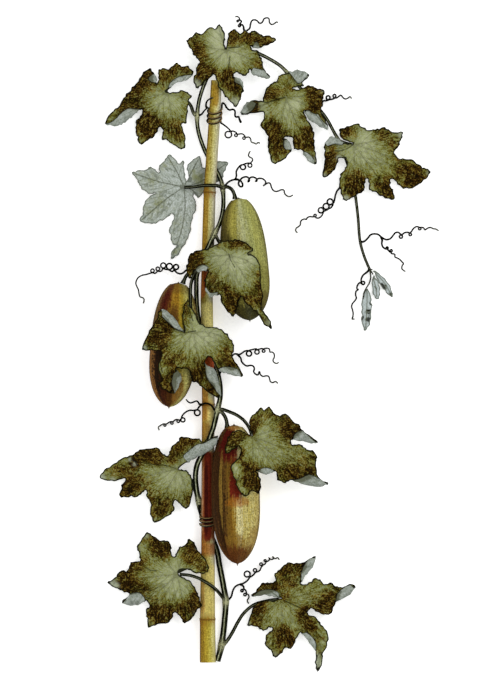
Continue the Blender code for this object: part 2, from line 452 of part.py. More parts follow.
# The lattice of points inside a blade, in drawing units and in cells
BLADE_CELL = 10.0
LATTICE_COUNT = 35
LATTICE_START = 0.3
ROW_SPACING = 0.87
EDGE_CLEARANCE = 0.4

MATERIALS = {
    "leaf": ((0.155, 0.165, 0.062), 0.62),
    "underside": ((0.50, 0.53, 0.52), 0.7),
    "stem": ((0.17, 0.18, 0.09), 0.55),
    "cane": ((0.62, 0.47, 0.17), 0.45),
    "green fruit": ((0.34, 0.35, 0.14), 0.4),
    "ripe fruit": ((0.42, 0.22, 0.07), 0.4),
}


def clear_scene():
    for item in list(bpy.data.objects):
        bpy.data.objects.remove(item)


def material(name):
    colour, roughness = MATERIALS[name]
    made = bpy.data.materials.new(name)
    made.use_nodes = True
    shader = made.node_tree.nodes["Principled BSDF"]
    shader.inputs["Base Color"].default_value = (*colour, 1)
    shader.inputs["Roughness"].default_value = roughness
    made.diffuse_color = (*colour, 1)
    return made


def place(x, y, height=0.0):
    """A point on the sheet, at a height in millimetres, in metres."""
    return Vector(((x - ORIGIN[0]) * UNIT, (ORIGIN[1] - y) * UNIT, height * MM))


def spline(points, position):
    """The point at a position such as 2.4 on a smooth curve through points."""
    last = len(points) - 1
    span = min(int(position), last - 1)
    t = position - span
    b, c = points[span], points[span + 1]
    a = points[span - 1] if span else b * 2 - c
    d = points[span + 2] if span + 2 <= last else c * 2 - b
    return (b * 2 + (c - a) * t + (a * 2 - b * 5 + c * 4 - d) * t**2
            + (b * 3 - a - c * 3 + d) * t**3) / 2


def smooth(points, spacing):
    """A curve through points, sampled about every spacing metres."""
    path = [points[0]]
    for span in range(len(points) - 1):
        steps = max(1, round((points[span + 1] - points[span]).length / spacing))
        path += [spline(points, span + step / steps) for step in range(1, steps + 1)]
    return path


def tube(name, path, radii, roundness):
    """A mesh object: a tube along path, with 4 + 2 * roundness sides and closed ends."""
    curve = bpy.data.curves.new(name, "CURVE")
    curve.dimensions = "3D"
    curve.bevel_depth = 1.0
    curve.bevel_resolution = roundness
    curve.use_fill_caps = True
    line = curve.splines.new("POLY")
    line.points.add(len(path) - 1)
    for point, centre, radius in zip(line.points, path, radii):
        point.co = (*centre, 1)
        point.radius = radius
    holder = bpy.data.objects.new(name, curve)
    bpy.context.collection.objects.link(holder)
    graph = bpy.context.evaluated_depsgraph_get()
    mesh = bpy.data.meshes.new_from_object(holder.evaluated_get(graph))
    bpy.data.objects.remove(holder)
    bm = bmesh.new()
    bm.from_mesh(mesh)
    bmesh.ops.remove_doubles(bm, verts=bm.verts, dist=1e-6)
    bmesh.ops.recalc_face_normals(bm, faces=bm.faces)
    bm.to_mesh(mesh)
    bm.free()
    made = bpy.data.objects.new(name, mesh)
    bpy.context.collection.objects.link(made)
    return made


def even_tube(name, points, radius, roundness, spacing):
    path = smooth(points, spacing)
    return tube(name, path, [radius] * len(path), roundness)


def fuse(body, limbs):
    """Join limbs to body with one Boolean union, applied."""
    group = bpy.data.collections.new("limbs")
    bpy.context.scene.collection.children.link(group)
    for limb in limbs:
        bpy.context.collection.objects.unlink(limb)
        group.objects.link(limb)
    union = body.modifiers.new("union", "BOOLEAN")
    union.operation = "UNION"
    union.operand_type = "COLLECTION"
    union.collection = group
    graph = bpy.context.evaluated_depsgraph_get()
    mesh = bpy.data.meshes.new_from_object(body.evaluated_get(graph))
    body.modifiers.clear()
    body.data = mesh
    for limb in limbs:
        bpy.data.objects.remove(limb)
    bpy.data.collections.remove(group)


def finish(piece, paint):
    piece.data.materials.clear()
    piece.data.materials.append(paint)
    piece.data.shade_smooth()
    piece.data.set_sharp_from_angle(angle=math.radians(SMOOTH_ANGLE))
    return piece


# Cane

def cane_at(y):
    """Centre and radius of the cane, in metres, at a distance down the sheet."""
    for (y0, x0, w0), (y1, x1, w1) in zip(CANE, CANE[1:]):
        if y >= y1:
            break
    t = (y0 - y) / (y0 - y1)
    radius = (w0 + (w1 - w0) * t) / 2 * UNIT
    centre = place(x0 + (x1 - x0) * t, y)
    centre.z = CANE_LIFT + radius
    return centre, radius


def build_cane(paint):
    stations = [row[0] for row in CANE]
    for joint in CANE_JOINTS:
        stations += [joint - JOINT_REACH, joint - JOINT_SHOULDER, joint]
        stations += [joint + JOINT_SHOULDER, joint + JOINT_REACH]
    path, radii = [], []
    for y in sorted(set(stations), reverse=True):
        centre, radius = cane_at(y)
        off = min(abs(y - joint) for joint in CANE_JOINTS)
        swell = JOINT_SWELL * (1 - off / JOINT_REACH) if off < JOINT_REACH else 0
        path.append(centre)
        radii.append(radius + swell)
    return finish(tube("bamboo_cane", path, radii, CANE_ROUNDNESS), paint)


# Fruits

def fruit_radius(t, crown):
    """Radius over the largest radius, at a share t of the way from the stalk to the tip."""
    if t < crown:
        return (1 - ((crown - t) / crown) ** SHOULDER_POWER) ** SHOULDER_ROUNDNESS
    u = (t - crown) / (1 - crown)
    body = (1 - min(1.0, u / BELLY_END) ** BELLY_POWER) ** BELLY_ROUNDNESS
    risen = min(1.0, max(0.0, (u - BEAK_START) / BEAK_RISE))
    beak = BEAK_RADIUS * math.sqrt(max(0.0, 1 - u)) * risen
    return max(body, beak)


def build_fruit(name, spec, paint):
    radius = spec["radius"] * UNIT
    height = radius - FRUIT_SINK
    top, tip = place(*spec["top"]), place(*spec["tip"])
    top.z = tip.z = height
    ahead = (tip - top).normalized()
    side = ahead.cross(Vector((0, 0, 1))).normalized()
    bm = bmesh.new()
    rings = []
    for n in range(1, FRUIT_RINGS):
        t = (1 - math.cos(math.pi * n / FRUIT_RINGS)) / 2
        size = radius * fruit_radius(t, spec["crown"])
        centre = top.lerp(tip, t)
        ring = []
        for k in range(FRUIT_SIDES):
            turn = 2 * math.pi * (k + 0.5) / FRUIT_SIDES
            point = centre + side * (size * math.sin(turn)) - Vector((0, 0, size * math.cos(turn)))
            point.z = max(point.z, 0.0)
            ring.append(bm.verts.new(point))
        rings.append(ring)
    for ring, after in zip(rings, rings[1:]):
        for k in range(FRUIT_SIDES):
            m = (k + 1) % FRUIT_SIDES
            bm.faces.new((ring[k], ring[m], after[m], after[k]))
    for ring, pole in ((rings[0], top), (rings[-1], tip)):
        centre = bm.verts.new(pole)
        for k in range(FRUIT_SIDES):
            bm.faces.new((ring[k], ring[(k + 1) % FRUIT_SIDES], centre))
    bmesh.ops.recalc_face_normals(bm, faces=bm.faces)
    mesh = bpy.data.meshes.new(name)
    bm.to_mesh(mesh)
    bm.free()
    piece = bpy.data.objects.new(name, mesh)
    bpy.context.collection.objects.link(piece)
    return finish(piece, paint)


def stalk_path(name):
    """The stalk's points, ending square on the fruit's top, a gap short of it."""
    spec = FRUITS[name]
    top, tip = place(*spec["top"]), place(*spec["tip"])
    top.z = tip.z = spec["radius"] * UNIT - FRUIT_SINK
    ahead = (tip - top).normalized()
    return [place(*p) for p in STALKS[name]] + [top - ahead * STALK_LEAD, top - ahead * GAP]


# Tendrils

def coil(start, end, turns, radius, turn_steps):
    """Points of a coil whose axis runs from start to end, opened out at both ends."""
    ahead = (end - start).normalized()
    side = Vector((-ahead.y, ahead.x, 0)).normalized()
    steps = turns * turn_steps
    points = []
    for step in range(steps + 1):
        t = step / steps
        turn = 2 * math.pi * turns * t
        swell = radius * UNIT * min(1.0, COIL_OPENING * turns * min(t, 1 - t))
        points.append(start.lerp(end, t) + side * (swell * math.cos(turn))
                      + ahead * (swell * COIL_LEAN * math.sin(turn))
                      + Vector((0, 0, swell * COIL_DEPTH * math.sin(turn))))
    return points


def wire_path(items, spacing):
    """Smooth stretches and coils, joined end to end."""
    path, run = [], []
    for n, item in enumerate(items):
        if item[0] == "coil":
            path += smooth(run, spacing) if len(run) > 1 else run
            path += coil(run[-1], place(*items[n + 1]), item[1], item[2], COIL_STEPS)[1:-1]
            run = []
        else:
            run.append(place(*item))
    return path + smooth(run, spacing)


def wrap_path(spec, spacing):
    """A wire that runs to the cane, winds round it and runs off again."""
    start, end = spec["span"]
    steps = spec["turns"] * WRAP_STEPS
    winding = []
    for step in range(steps + 1):
        t = step / steps
        centre, radius = cane_at(start + (end - start) * t)
        turn = spec["side"] + 2 * math.pi * spec["turns"] * t
        reach = (radius + TENDRIL_RADIUS + GAP) / math.cos(math.pi / WRAP_STEPS)
        winding.append(centre + Vector((math.cos(turn), 0, math.sin(turn))) * reach)
    before = smooth([place(*p) for p in spec["before"]] + [winding[0]], spacing)
    path = before[:-1] + winding
    if spec["after"]:
        path += wire_path([*spec["after"]], spacing)
    return path, winding


def tendril_wires(spacing):
    wires = []
    for group in TENDRILS.values():
        wires += [wire_path(items, spacing) for items in group]
    for spec in WRAPS.values():
        path, winding = wrap_path(spec, spacing)
        wires.append(path)
        if spec["root"]:
            landing = winding[round(spec["root_turn"] * WRAP_STEPS)]
            wires.append(smooth([place(*p) for p in spec["root"]] + [landing], spacing))
    return wires


def build_stem(paint):
    """The main stem with its leaf stalks, fruit stalks and tendrils, grown as one."""
    path = smooth([place(*p) for p in STEM], STEM_SPACING)
    share = [n / (len(path) - 1) for n in range(len(path))]
    radii = [STEM_RADIUS + (STEM_TIP_RADIUS - STEM_RADIUS) * s for s in share]
    stem = tube("vine_stem", path, radii, STEM_ROUNDNESS)
    limbs = []
    for name, points in PETIOLES.items():
        line = [place(*p) for p in points]
        limbs.append(even_tube(name, line, PETIOLE_RADIUS, PETIOLE_ROUNDNESS, PETIOLE_SPACING))
    for name, points in YOUNG_PETIOLES.items():
        line = [place(*p) for p in points]
        limbs.append(even_tube(name, line, YOUNG_PETIOLE_RADIUS, PETIOLE_ROUNDNESS,
                               YOUNG_PETIOLE_SPACING))
    for name in FRUITS:
        limbs.append(even_tube(name, stalk_path(name), STALK_RADIUS, STEM_ROUNDNESS, STALK_SPACING))
    for wire in tendril_wires(TENDRIL_SPACING):
        limbs.append(tube("tendril", wire, [TENDRIL_RADIUS] * len(wire), TENDRIL_ROUNDNESS))
    fuse(stem, limbs)
    return finish(stem, paint)


# Leaves

def inside(point, ring):
    crossings = 0
    for a, b in zip(ring, ring[1:] + ring[:1]):
        if (a.y > point.y) != (b.y > point.y):
            if point.x < a.x + (point.y - a.y) / (b.y - a.y) * (b.x - a.x):
                crossings += 1
    return crossings % 2 == 1


def edge_distance(point, ring):
    best = math.inf
    for a, b in zip(ring, ring[1:] + ring[:1]):
        along = b - a
        t = max(0.0, min(1.0, (point - a).dot(along) / along.length_squared))
        best = min(best, (a + along * t - point).length)
    return best


def blade_height(point, rest):
    """Height in metres at a point of the sheet, from the heights given at points near it."""
    total = weight = 0.0
    for x, y, height in rest:
        share = 1 / ((point.x - x) ** 2 + (point.y - y) ** 2 + REST_SOFTNESS) ** 2
        total += share * height
        weight += share
    return total / weight * MM


def closed_curve(points, steps):
    count = len(points)
    ring = []
    for n in range(count):
        around = [Vector(points[(n + k) % count]) for k in (-1, 0, 1, 2)]
        ring += [spline(around, 1 + step / steps) for step in range(steps)]
    return ring


def build_leaf(name, spec, paint):
    ring = closed_curve(spec["edge"], EDGE_STEPS)
    inner = []
    corner = Vector((min(p.x for p in ring), min(p.y for p in ring)))
    for row in range(LATTICE_COUNT):
        for column in range(LATTICE_COUNT):
            step = Vector((column + row % 2 / 2 + LATTICE_START, row * ROW_SPACING + LATTICE_START))
            point = corner + step * BLADE_CELL
            if inside(point, ring) and edge_distance(point, ring) > BLADE_CELL * EDGE_CLEARANCE:
                inner.append(point)
    flat = ring + inner
    made = delaunay_2d_cdt(flat, [], [list(range(len(ring)))], 1, 1e-6)
    bm = bmesh.new()

    def vertex(point, extra=0.0):
        spot = place(point.x, point.y)
        spot.z = blade_height(point, spec["rest"]) + extra
        return bm.verts.new(spot)

    verts = [vertex(point) for point in made[0]]
    home = {source[0]: n for n, source in enumerate(made[3]) if source}
    for face in made[2]:
        bm.faces.new([verts[n] for n in face])
    for first, last, over in spec["curls"]:
        add_curl(bm, vertex, verts, home, ring, first, last, over)
    bmesh.ops.recalc_face_normals(bm, faces=bm.faces)
    bmesh.ops.triangulate(bm, faces=bm.faces)
    mesh = bpy.data.meshes.new(name)
    bm.to_mesh(mesh)
    bm.free()
    piece = bpy.data.objects.new(name, mesh)
    bpy.context.collection.objects.link(piece)
    thickness = piece.modifiers.new("thickness", "SOLIDIFY")
    thickness.thickness = BLADE
    thickness.offset = 0
    return finish(piece, paint)


def add_curl(bm, vertex, verts, home, ring, first, last, over):
    """Roll the margin between two numbered points of the edge up and over to a line."""
    count = len(ring)
    span = [(first * EDGE_STEPS + k) % count for k in range((last - first) * EDGE_STEPS + 1)]
    hinge = [ring[n] for n in span]
    far = [hinge[0]] + [Vector(p) for p in over] + [hinge[-1]]
    roll = CURL_RADIUS / UNIT
    columns = []
    for k, start in enumerate(hinge):
        end = spline(far, k / (len(hinge) - 1) * (len(far) - 1))
        reach = (end - start).length
        from_end = min((start - hinge[0]).length, (start - hinge[-1]).length)
        length = min(math.pi * roll + reach, CURL_END_SLOPE * from_end)
        column = [verts[home[span[k]]]]
        if min(reach, length) > CURL_START:
            ahead = (end - start) / reach
            half = min(math.pi * roll, length * CURL_TURN_SHARE)
            for stop in [half * f for f in CURL_ROWS] + [length]:
                turn = min(stop / roll, math.pi)
                beyond = max(0.0, stop - math.pi * roll)
                spot = start + ahead * (beyond - CURL_BULGE * roll * math.sin(turn))
                column.append(vertex(spot, CURL_RADIUS * (1 - math.cos(turn))))
        columns.append(column)
    for left, right in zip(columns, columns[1:]):
        for row in range(len(CURL_ROWS) + 1):
            corners = []
            for column, n in ((left, row), (right, row), (right, row + 1), (left, row + 1)):
                corner = column[min(n, len(column) - 1)]
                if corner not in corners:
                    corners.append(corner)
            if len(corners) > 2:
                bm.faces.new(corners)


def build():
    clear_scene()
    paints = {name: material(name) for name in MATERIALS}
    build_cane(paints["cane"])
    build_stem(paints["stem"])
    build_fruit("fruit_upper", FRUITS["fruit_upper"], paints["green fruit"])
    build_fruit("fruit_left", FRUITS["fruit_left"], paints["ripe fruit"])
    build_fruit("fruit_lower", FRUITS["fruit_lower"], paints["ripe fruit"])
    for name, spec in LEAVES.items():
        pale = name == "leaf_05" or name.startswith("young")
        build_leaf(name, spec, paints["underside" if pale else "leaf"])


build()
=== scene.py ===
"""How the climbing gourd vine looks: its blades, stems, tendrils, gourds and cane, on a pale floor.

Places across the plant are in drawing units, x to the right and y down the sheet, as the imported
solids were laid out. Heights above the floor are in millimetres.
"""

import math
import random

import bmesh
import bpy
import numpy as np
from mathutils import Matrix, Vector
from mathutils.geometry import delaunay_2d_cdt


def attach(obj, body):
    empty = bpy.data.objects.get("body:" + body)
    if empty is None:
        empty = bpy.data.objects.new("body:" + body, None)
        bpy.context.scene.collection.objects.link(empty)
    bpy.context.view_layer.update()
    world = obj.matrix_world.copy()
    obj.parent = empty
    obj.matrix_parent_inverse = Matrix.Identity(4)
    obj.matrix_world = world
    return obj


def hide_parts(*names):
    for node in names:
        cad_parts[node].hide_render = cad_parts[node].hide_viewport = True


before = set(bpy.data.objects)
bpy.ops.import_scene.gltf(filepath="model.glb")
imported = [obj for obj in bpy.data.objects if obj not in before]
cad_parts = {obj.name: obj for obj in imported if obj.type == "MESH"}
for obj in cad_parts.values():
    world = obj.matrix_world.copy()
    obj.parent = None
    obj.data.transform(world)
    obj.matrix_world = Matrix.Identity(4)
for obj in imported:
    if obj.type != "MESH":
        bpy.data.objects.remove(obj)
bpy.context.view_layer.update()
bpy.ops.object.select_all(action="DESELECT")

# Driving dimensions, in metres
FRUIT_LENGTH = 0.122
STEM_RADIUS = 0.0027
STEM_TIP_RADIUS = 0.0012
PETIOLE_RADIUS = 0.0016
STALK_RADIUS = 0.0016
BLADE = 0.0005
CURL_RADIUS = 0.0015
CANE_LIFT = 0.0056

# The sheet: the largest fruit spans this many drawing units, and the origin is this point on it
FRUIT_UNITS = 140.0
UNIT = FRUIT_LENGTH / FRUIT_UNITS
ORIGIN = (269.0, 343.5)
MM = 0.001

# Each joint of the cane: distance down the sheet, centre, width
CANE = [(661.5, 208, 16), (619, 207.6, 15.2), (545, 208, 13.4), (480, 208, 12.8), (405, 208.4, 12.6),
        (300, 206.8, 12.2), (230, 208.6, 12.2), (190, 209.8, 12), (130, 213.8, 11.4), (81, 216.6, 10.8)]
CANE_JOINTS = (619, 405, 193)
JOINT_SWELL = 0.0006
JOINT_REACH = 2.6

# The main stem from foot to tip: x, y, height in millimetres
STEM = [(217.5, 661, 2.9), (221.5, 645, 3), (224.5, 622, 3.1), (225.7, 601, 3.3), (223.5, 586, 3.1),
        (219.5, 565, 2.9), (216.5, 549, 2.8), (208.5, 530, 2.8), (201.5, 513, 3), (198.8, 501, 5),
        (196.5, 489, 9), (195.6, 476, 13.5), (197.4, 464, 17.6), (202.6, 453, 20), (209.6, 438, 20.6),
        (214.4, 424, 20), (217.6, 409.6, 17.5), (220.3, 397, 12.5), (220, 384, 8), (217, 371, 4),
        (210.5, 355, 2.7), (204, 338, 2.7), (198.8, 320, 2.8), (196.8, 304, 3.2), (196.4, 290, 6.5),
        (196.6, 279, 12), (198.5, 269, 16.5), (202.8, 258, 19.6), (208.8, 246, 20), (215, 234, 18.6),
        (220, 223, 14.5), (223, 210, 10), (223.4, 197, 7.5), (222.6, 188.5, 6.5), (221, 180.5, 4.8),
        (217, 172, 3.45), (211.5, 162.5, 3.4), (205.9, 153, 3.5), (201, 140.6, 4.5), (197.8, 128, 6),
        (197.2, 116.5, 7), (198.5, 104.5, 8), (201, 94, 9), (205.2, 83, 10), (210.5, 72, 10.5),
        (220, 62.5, 10.5), (238, 54, 10), (250, 52, 9.5), (258.7, 54.2, 9), (269.5, 59.5, 8.5),
        (280, 66, 8), (288, 74, 8), (300, 88, 7.5), (312, 101, 7), (321.7, 112.5, 6.5), (327.5, 120.5, 6.2),
        (333.7, 132, 6), (339, 142, 6), (346, 160, 5), (351.6, 178, 4.6), (355.4, 196.5, 4.2),
        (358, 218, 4), (359.8, 240, 4), (364, 256, 4), (369.6, 269.5, 4)]

PETIOLES = {
    "leaf_01": [(197.2, 116.5, 7), (193.5, 113, 7.6), (190.2, 105, 8.6), (183, 99, 10), (172, 95.8, 10.8)],
    "leaf_02": [(211.5, 70.5, 10.5), (218, 63, 13.5), (224, 55, 17), (226.4, 52, 17.9)],
    "leaf_03": [(288, 74, 8), (287.4, 83, 9.6), (286.6, 94, 11.8)],
    "leaf_04": [(338.6, 141.4, 6), (345, 143.4, 8.8), (351.5, 145, 10.8)],
    "leaf_05": [(222.6, 188.5, 6.5), (220.4, 187, 11), (217.2, 186.2, 16.4), (213, 186, 19.4),
                (206.6, 186, 19.4), (202.2, 186.2, 16.4), (198.6, 186.6, 11), (193.5, 187.2, 7.2),
                (184.5, 187.6, 5.4)],
    "leaf_06": [(215, 234, 18.6), (217.8, 240, 24.5), (221.5, 246, 31.5), (226, 252, 37),
                (229.6, 256, 39.4)],
    "leaf_07": [(198.5, 269, 16.5), (194.5, 275, 20.5), (191.4, 284, 26), (190.8, 296, 31.5),
                (191.6, 310, 34.8), (194.4, 328, 36.4)],
    "leaf_08": [(198.8, 501, 5), (194.9, 490, 7.2), (191.4, 480, 9.4), (186, 473.4, 10.4),
                (180.6, 470, 10.8)],
    "leaf_09": [(217.6, 409.6, 17.5), (222.5, 409.2, 21), (229, 411.3, 25.5), (236.7, 414.6, 30),
                (244, 420, 34), (249, 427, 36.8), (251.6, 434, 38.2)],
    "leaf_10": [(225.7, 601, 3.3), (221.6, 595.5, 8), (217.6, 590.4, 14.5), (213, 586, 19.4),
                (208, 582.4, 20.8), (203, 579.4, 20.2), (198, 577, 18.6), (190, 574.6, 16.4),
                (180, 573.6, 15.2)],
    "leaf_11": [(222.8, 645, 3), (227.5, 640, 4.6), (233, 631, 6), (238, 621.5, 7.4), (244, 612.5, 8.8),
                (254, 604.2, 10.2), (267, 600.2, 11), (279, 598.4, 11.2)],
}

# Each fruit: the stalk's end of its axis, its tip, its radius and the share of its length, from the
# stalk on, at which it is widest
FRUITS = {
    "fruit_upper": {"top": (238.6, 197.6), "tip": (250, 322), "radius": 23.5, "crown": 0.62},
    "fruit_left": {"top": (178.8, 281.8), "tip": (169.2, 408.6), "radius": 23.3, "crown": 0.57},
    "fruit_lower": {"top": (234, 423.4), "tip": (237.6, 565), "radius": 24.0, "crown": 0.55},
}
STALKS = {
    "fruit_upper": [(222.6, 188.5, 6.5), (227, 187.2, 11.5), (231.6, 189.8, 17), (234.2, 194.6, 20.2),
                    (235.2, 199.6, 20.6)],
    "fruit_left": [(198.5, 269, 16.5), (192, 271.2, 18), (187, 275.6, 19.6), (184.6, 280, 20.2),
                   (183, 284, 20.4)],
    "fruit_lower": [(217.6, 409.6, 17.5), (222.2, 412.4, 19.6), (225.4, 417, 20.8), (226.8, 422, 21),
                    (227.4, 427.4, 20.8)],
}
FRUIT_SINK = 0.0003
FRUIT_SIDES = 72
FRUIT_RINGS = 72

# Every tendril is one or more wires. A wire is points x, y, with a height in millimetres where it
# is known. ("loop", x, y, radius) goes once round a centre from the point before it.
TENDRILS = {
    "tendril_01": [
        [(240, 53.6, 9.8), (243, 44, 9.6), (245.6, 33, 9.4), (249.5, 29, 8), (250.4, 25), (251.6, 21.4),
         (254, 20.2), (257, 21), (259.6, 23.6), (262.4, 22.4), (264, 19, 3.5), (266.8, 18), (269, 19),
         (269.6, 22.6), (271.4, 24.6), (274, 24), (276.4, 22), (278, 22.8, 2.2)],
        [(245.6, 33, 9.4), (243.8, 30), (243.4, 27), (241.6, 25), (239.6, 27.4), (238.4, 26), (240, 24),
         (241.4, 22), (240, 20.4), (237.6, 22.2), (237, 21), (239.6, 19.8), (239, 18), (237, 16.6),
         (235.4, 17.2, 4)],
    ],
    "tendril_03": [
        [(317, 107, 6.8), (323, 101.4, 6), (326, 101), (329, 100), ("loop", 328, 98, 1.9), (331, 99.6),
         (334.4, 98.4), (335.8, 96), (334.6, 94.4), (333, 95.6), (334, 97.8), (337, 97.8),
         (340.6, 95.2), (342.6, 97.2), (344.8, 99), (347.6, 98.4), (350, 96.6), (351.6, 98.8, 1.8)],
    ],
    "tendril_04": [
        [(222.6, 188.5, 6.5), (228, 182.6, 7.8), (232, 180.4), (235, 179.4, 8), (236.4, 176),
         (236.2, 172), (237.6, 169), (240, 166), (243, 164.8), ("loop", 243, 167.4, 2.6), (247, 163.4),
         (250, 163.4, 5), ("loop", 250, 165.6, 2), (252.6, 160.6), (252, 158.4), (249.4, 157),
         (248.4, 155.4), (249.4, 152.6), (250.4, 151, 2.4)],
        [(235, 179.4, 8), (239, 180.4), (238.6, 184), (240, 186.6), (242.4, 186.6), (242.4, 183.6),
         (240.6, 181), (241, 179), (243.6, 177.4), (246.6, 177), (248.8, 178.4), (249.4, 181),
         (248, 182, 5), (250, 178), (253, 177.2), (256, 178.4), (257, 181), (255.6, 181.6),
         (257.6, 179), (260, 178.4), (263, 179), (265.6, 181.6), (265.2, 184.4), (263.2, 186, 3.6),
         (268, 183), (270.4, 184), (271.4, 187.4), (273.4, 190.6), (276.4, 191.6), (279, 190.8),
         (281.4, 189.8), (284, 190.4), (284.6, 193.4), (287, 196), (290, 196.6), (293, 195, 1.6)],
    ],
    "tendril_05": [
        [(198, 270.5, 16), (192, 268.8, 12.5), (186.4, 270.4, 9.4), (184, 272.6), (180.6, 274),
         (177, 272.8), (174.4, 270), ("loop", 176.2, 267.2, 2.5), (172.6, 271.6), (170, 270.6),
         ("loop", 169.6, 266.6, 3), (166.4, 269.6), (164, 268.8), ("loop", 163.4, 265.6, 2.6),
         (161, 271.4), (158, 271.2), ("loop", 158, 269, 1.9), (155.4, 273.4), (153, 272.8),
         ("loop", 152.6, 270.8, 1.8), (150, 273.4, 3.6), (146, 274.6), (142, 275.4), (138.4, 277.6),
         (136.4, 281), (136, 284), (137.4, 287.4), (138.6, 290), (139, 293), (140, 296.6),
         (142.6, 297.6), (144.2, 299.6), (143.4, 303.4, 1.4)],
    ],
    "tendril_06": [
        [(218.4, 376, 6), (224, 366, 8.6), (231, 357, 9), (234.4, 354), (237, 354), (239, 354.6),
         (242, 353), (245, 351), (248, 350.6), ("loop", 249, 353.6, 2.6), (250.4, 350), (253, 349.4),
         (256, 348.8), ("loop", 257, 352, 2.2), (259, 349.2), (262, 348.4), ("loop", 263.6, 351, 1.4),
         (264, 348.6), (267, 348.2, 3.6), (269.4, 349), (270, 352), (272, 352), (274, 353.6),
         (274.4, 357), (273, 360.4), (274.4, 362.6), (276.6, 363.4), (278.8, 362.4, 1.8)],
        [(237, 354, 8), (240.6, 358), (241.6, 361.6), (244, 364.4), (247, 366), (250, 365.4), (253, 366),
         (254.4, 368.6), (253.6, 371.6), (255.4, 374), (258, 374.8), (259.4, 371.4), (260.4, 374.6),
         (263, 376.4), (266, 375.8), (268.6, 376.4), (269.6, 379), (270.4, 381.6), (273, 382.6),
         (275.4, 381.4), (278, 383.4, 1.6)],
    ],
    "tendril_07": [
        [(217.6, 409.6, 17.5), (215, 409.6, 19), (213.4, 408, 20), (211.6, 405.4), (208.6, 403.6, 20.4),
         (205, 403.2, 20), (202, 404.4, 18), (199.6, 406.4, 15), (197.4, 409.4, 10),
         ("loop", 197.4, 412.6, 2.8), (193, 410.4, 8), (190, 410.2), (187, 411.4), (184, 413.6),
         (182, 416.4), (181.6, 418.4), ("loop", 183, 419.8, 2.1), (180.6, 419.4),
         ("loop", 178.4, 421, 1.4), (176.4, 419.4), (173.4, 421.2), ("loop", 172, 423, 1.2),
         (170.4, 421.6), (167, 423.6), ("loop", 165, 425.2, 1.1), (163.6, 423.8), (160.6, 425.4),
         (158.4, 427), (159.2, 430.4, 2)],
        [(202, 404.4, 18), (199.6, 404, 15.6), (198, 401.6), (196, 401), (193.6, 402, 11), (191, 402.8),
         (188.6, 402), (187, 400.4), (186.2, 399.4, 7.6)],
    ],
    "tendril_08": [
        [(349, 171, 4.8), (343, 181, 4.2), (339, 188.6, 4), (337, 191), (335.4, 195), (334.6, 199),
         (333.6, 202.6), ("loop", 330, 202, 2.9), (332.6, 205.4), (330.6, 208),
         ("loop", 326, 206.6, 2.9), (327.6, 209.6), (324.6, 211), ("loop", 320.8, 210.4, 2.6),
         (323, 213), (321.6, 216), (319, 218), (316.4, 218, 4), ("loop", 315, 215.6, 1.2),
         (312, 216.8), (309.4, 216.6), (307, 218), (306.4, 219.6), (304.6, 219), (302, 219.8),
         (300.6, 221.6), (300.4, 224.6), (298.6, 226.6), (296.4, 228), (295.6, 230.6),
         (297.4, 233, 1.4)],
    ],
    "tendril_09": [
        [(359.2, 241, 4), (362, 242), (365, 241), (368, 238), (370.4, 235), (374, 234), (378, 234.6),
         (381, 237), (384, 239), (387, 239.8), (390.4, 238.6), (393, 235.6), (395.4, 232.8),
         (398.4, 232.6, 4.6), (400.6, 234.6), ("loop", 400.8, 236.8, 1.6), (402.4, 234.4),
         (404.6, 232.8), (407.6, 232.4), (409.6, 233.2), ("loop", 410.2, 234.6, 1.3), (411.4, 231.6),
         (413.6, 228.4), (416.6, 226.6, 3.2), (419, 227.4), ("loop", 419.6, 228.8, 1.2),
         (421.6, 227.4), (423.6, 228), (425, 230), (427, 228.6), (430, 227.4), (433, 228.6),
         (436, 229.2), (438.6, 230.8, 1.6)],
        [(380.8, 237, 4.4), (382, 240), (381.6, 244), (383, 247.4), (385.6, 249), ("loop", 387, 248, 1),
         (388.4, 250.4), (389.6, 252), ("loop", 391, 250.8, 1.1), (391.6, 253.6), (394.6, 254.4),
         (394.8, 257), (397.4, 258.2, 2.8), (400, 259.8), (402, 262), (403.4, 263.6), (402, 266),
         (401.8, 268.8), (403.6, 270.4), (405.4, 271.6, 1.6)],
    ],
    "tendril_10": [
        [(369.6, 269, 4), (367, 272), (363.6, 274.6), (361.6, 277.6), (361, 281), (361.6, 283.6),
         ("loop", 363, 283, 1.6), (359.6, 282.8), (357.6, 285), (356.8, 288.6), (358.4, 289.6),
         (356, 291.4), (355.6, 295, 2.6), (356.4, 298), (355, 300.6), (352.6, 303.4), (351.6, 306.6),
         (352.6, 310), (353.2, 313.6), (352.8, 317), (352, 319), (354.6, 319, 1.4)],
    ],
    "tendril_12": [
        [(225.7, 601, 3.3), (229.4, 598.6), (231.4, 596), (232.4, 592), (234, 588), (236.6, 585.4),
         (240, 584), (243.4, 583), (247, 580.6), (249.4, 577.4, 5), ("loop", 247.2, 573.8, 2.9),
         (250, 576.8), (253, 575), (255, 572.6), ("loop", 255, 570, 1.6), (256, 572), (259.6, 570.4),
         (261, 567.4), (262.6, 565.4), ("loop", 261, 564, 1.3), (264.6, 564.2), (266, 562),
         ("loop", 265, 560.4, 1), (268, 561), (269.6, 559), (268.6, 557.4), (271, 559.4),
         (273.4, 558.6), (272.6, 556.4), (275, 558.6), (277.6, 557.6), (279.4, 559.8, 2)],
        [(240, 584, 4.8), (241.6, 584.6), (243.6, 586.4), (243.8, 588.6), ("loop", 242, 590.4, 1.2),
         (245, 589.4), (246.4, 592), ("loop", 245, 594.4, 1.3), (248.4, 594.6), (249, 597.4),
         (247.4, 600), (247.8, 602.2), (249, 603.4, 1.6)],
    ],
}
LOOP_STEPS = 10
LOOP_RISE = 0.6
LOOP_CLEARANCE = 1.1

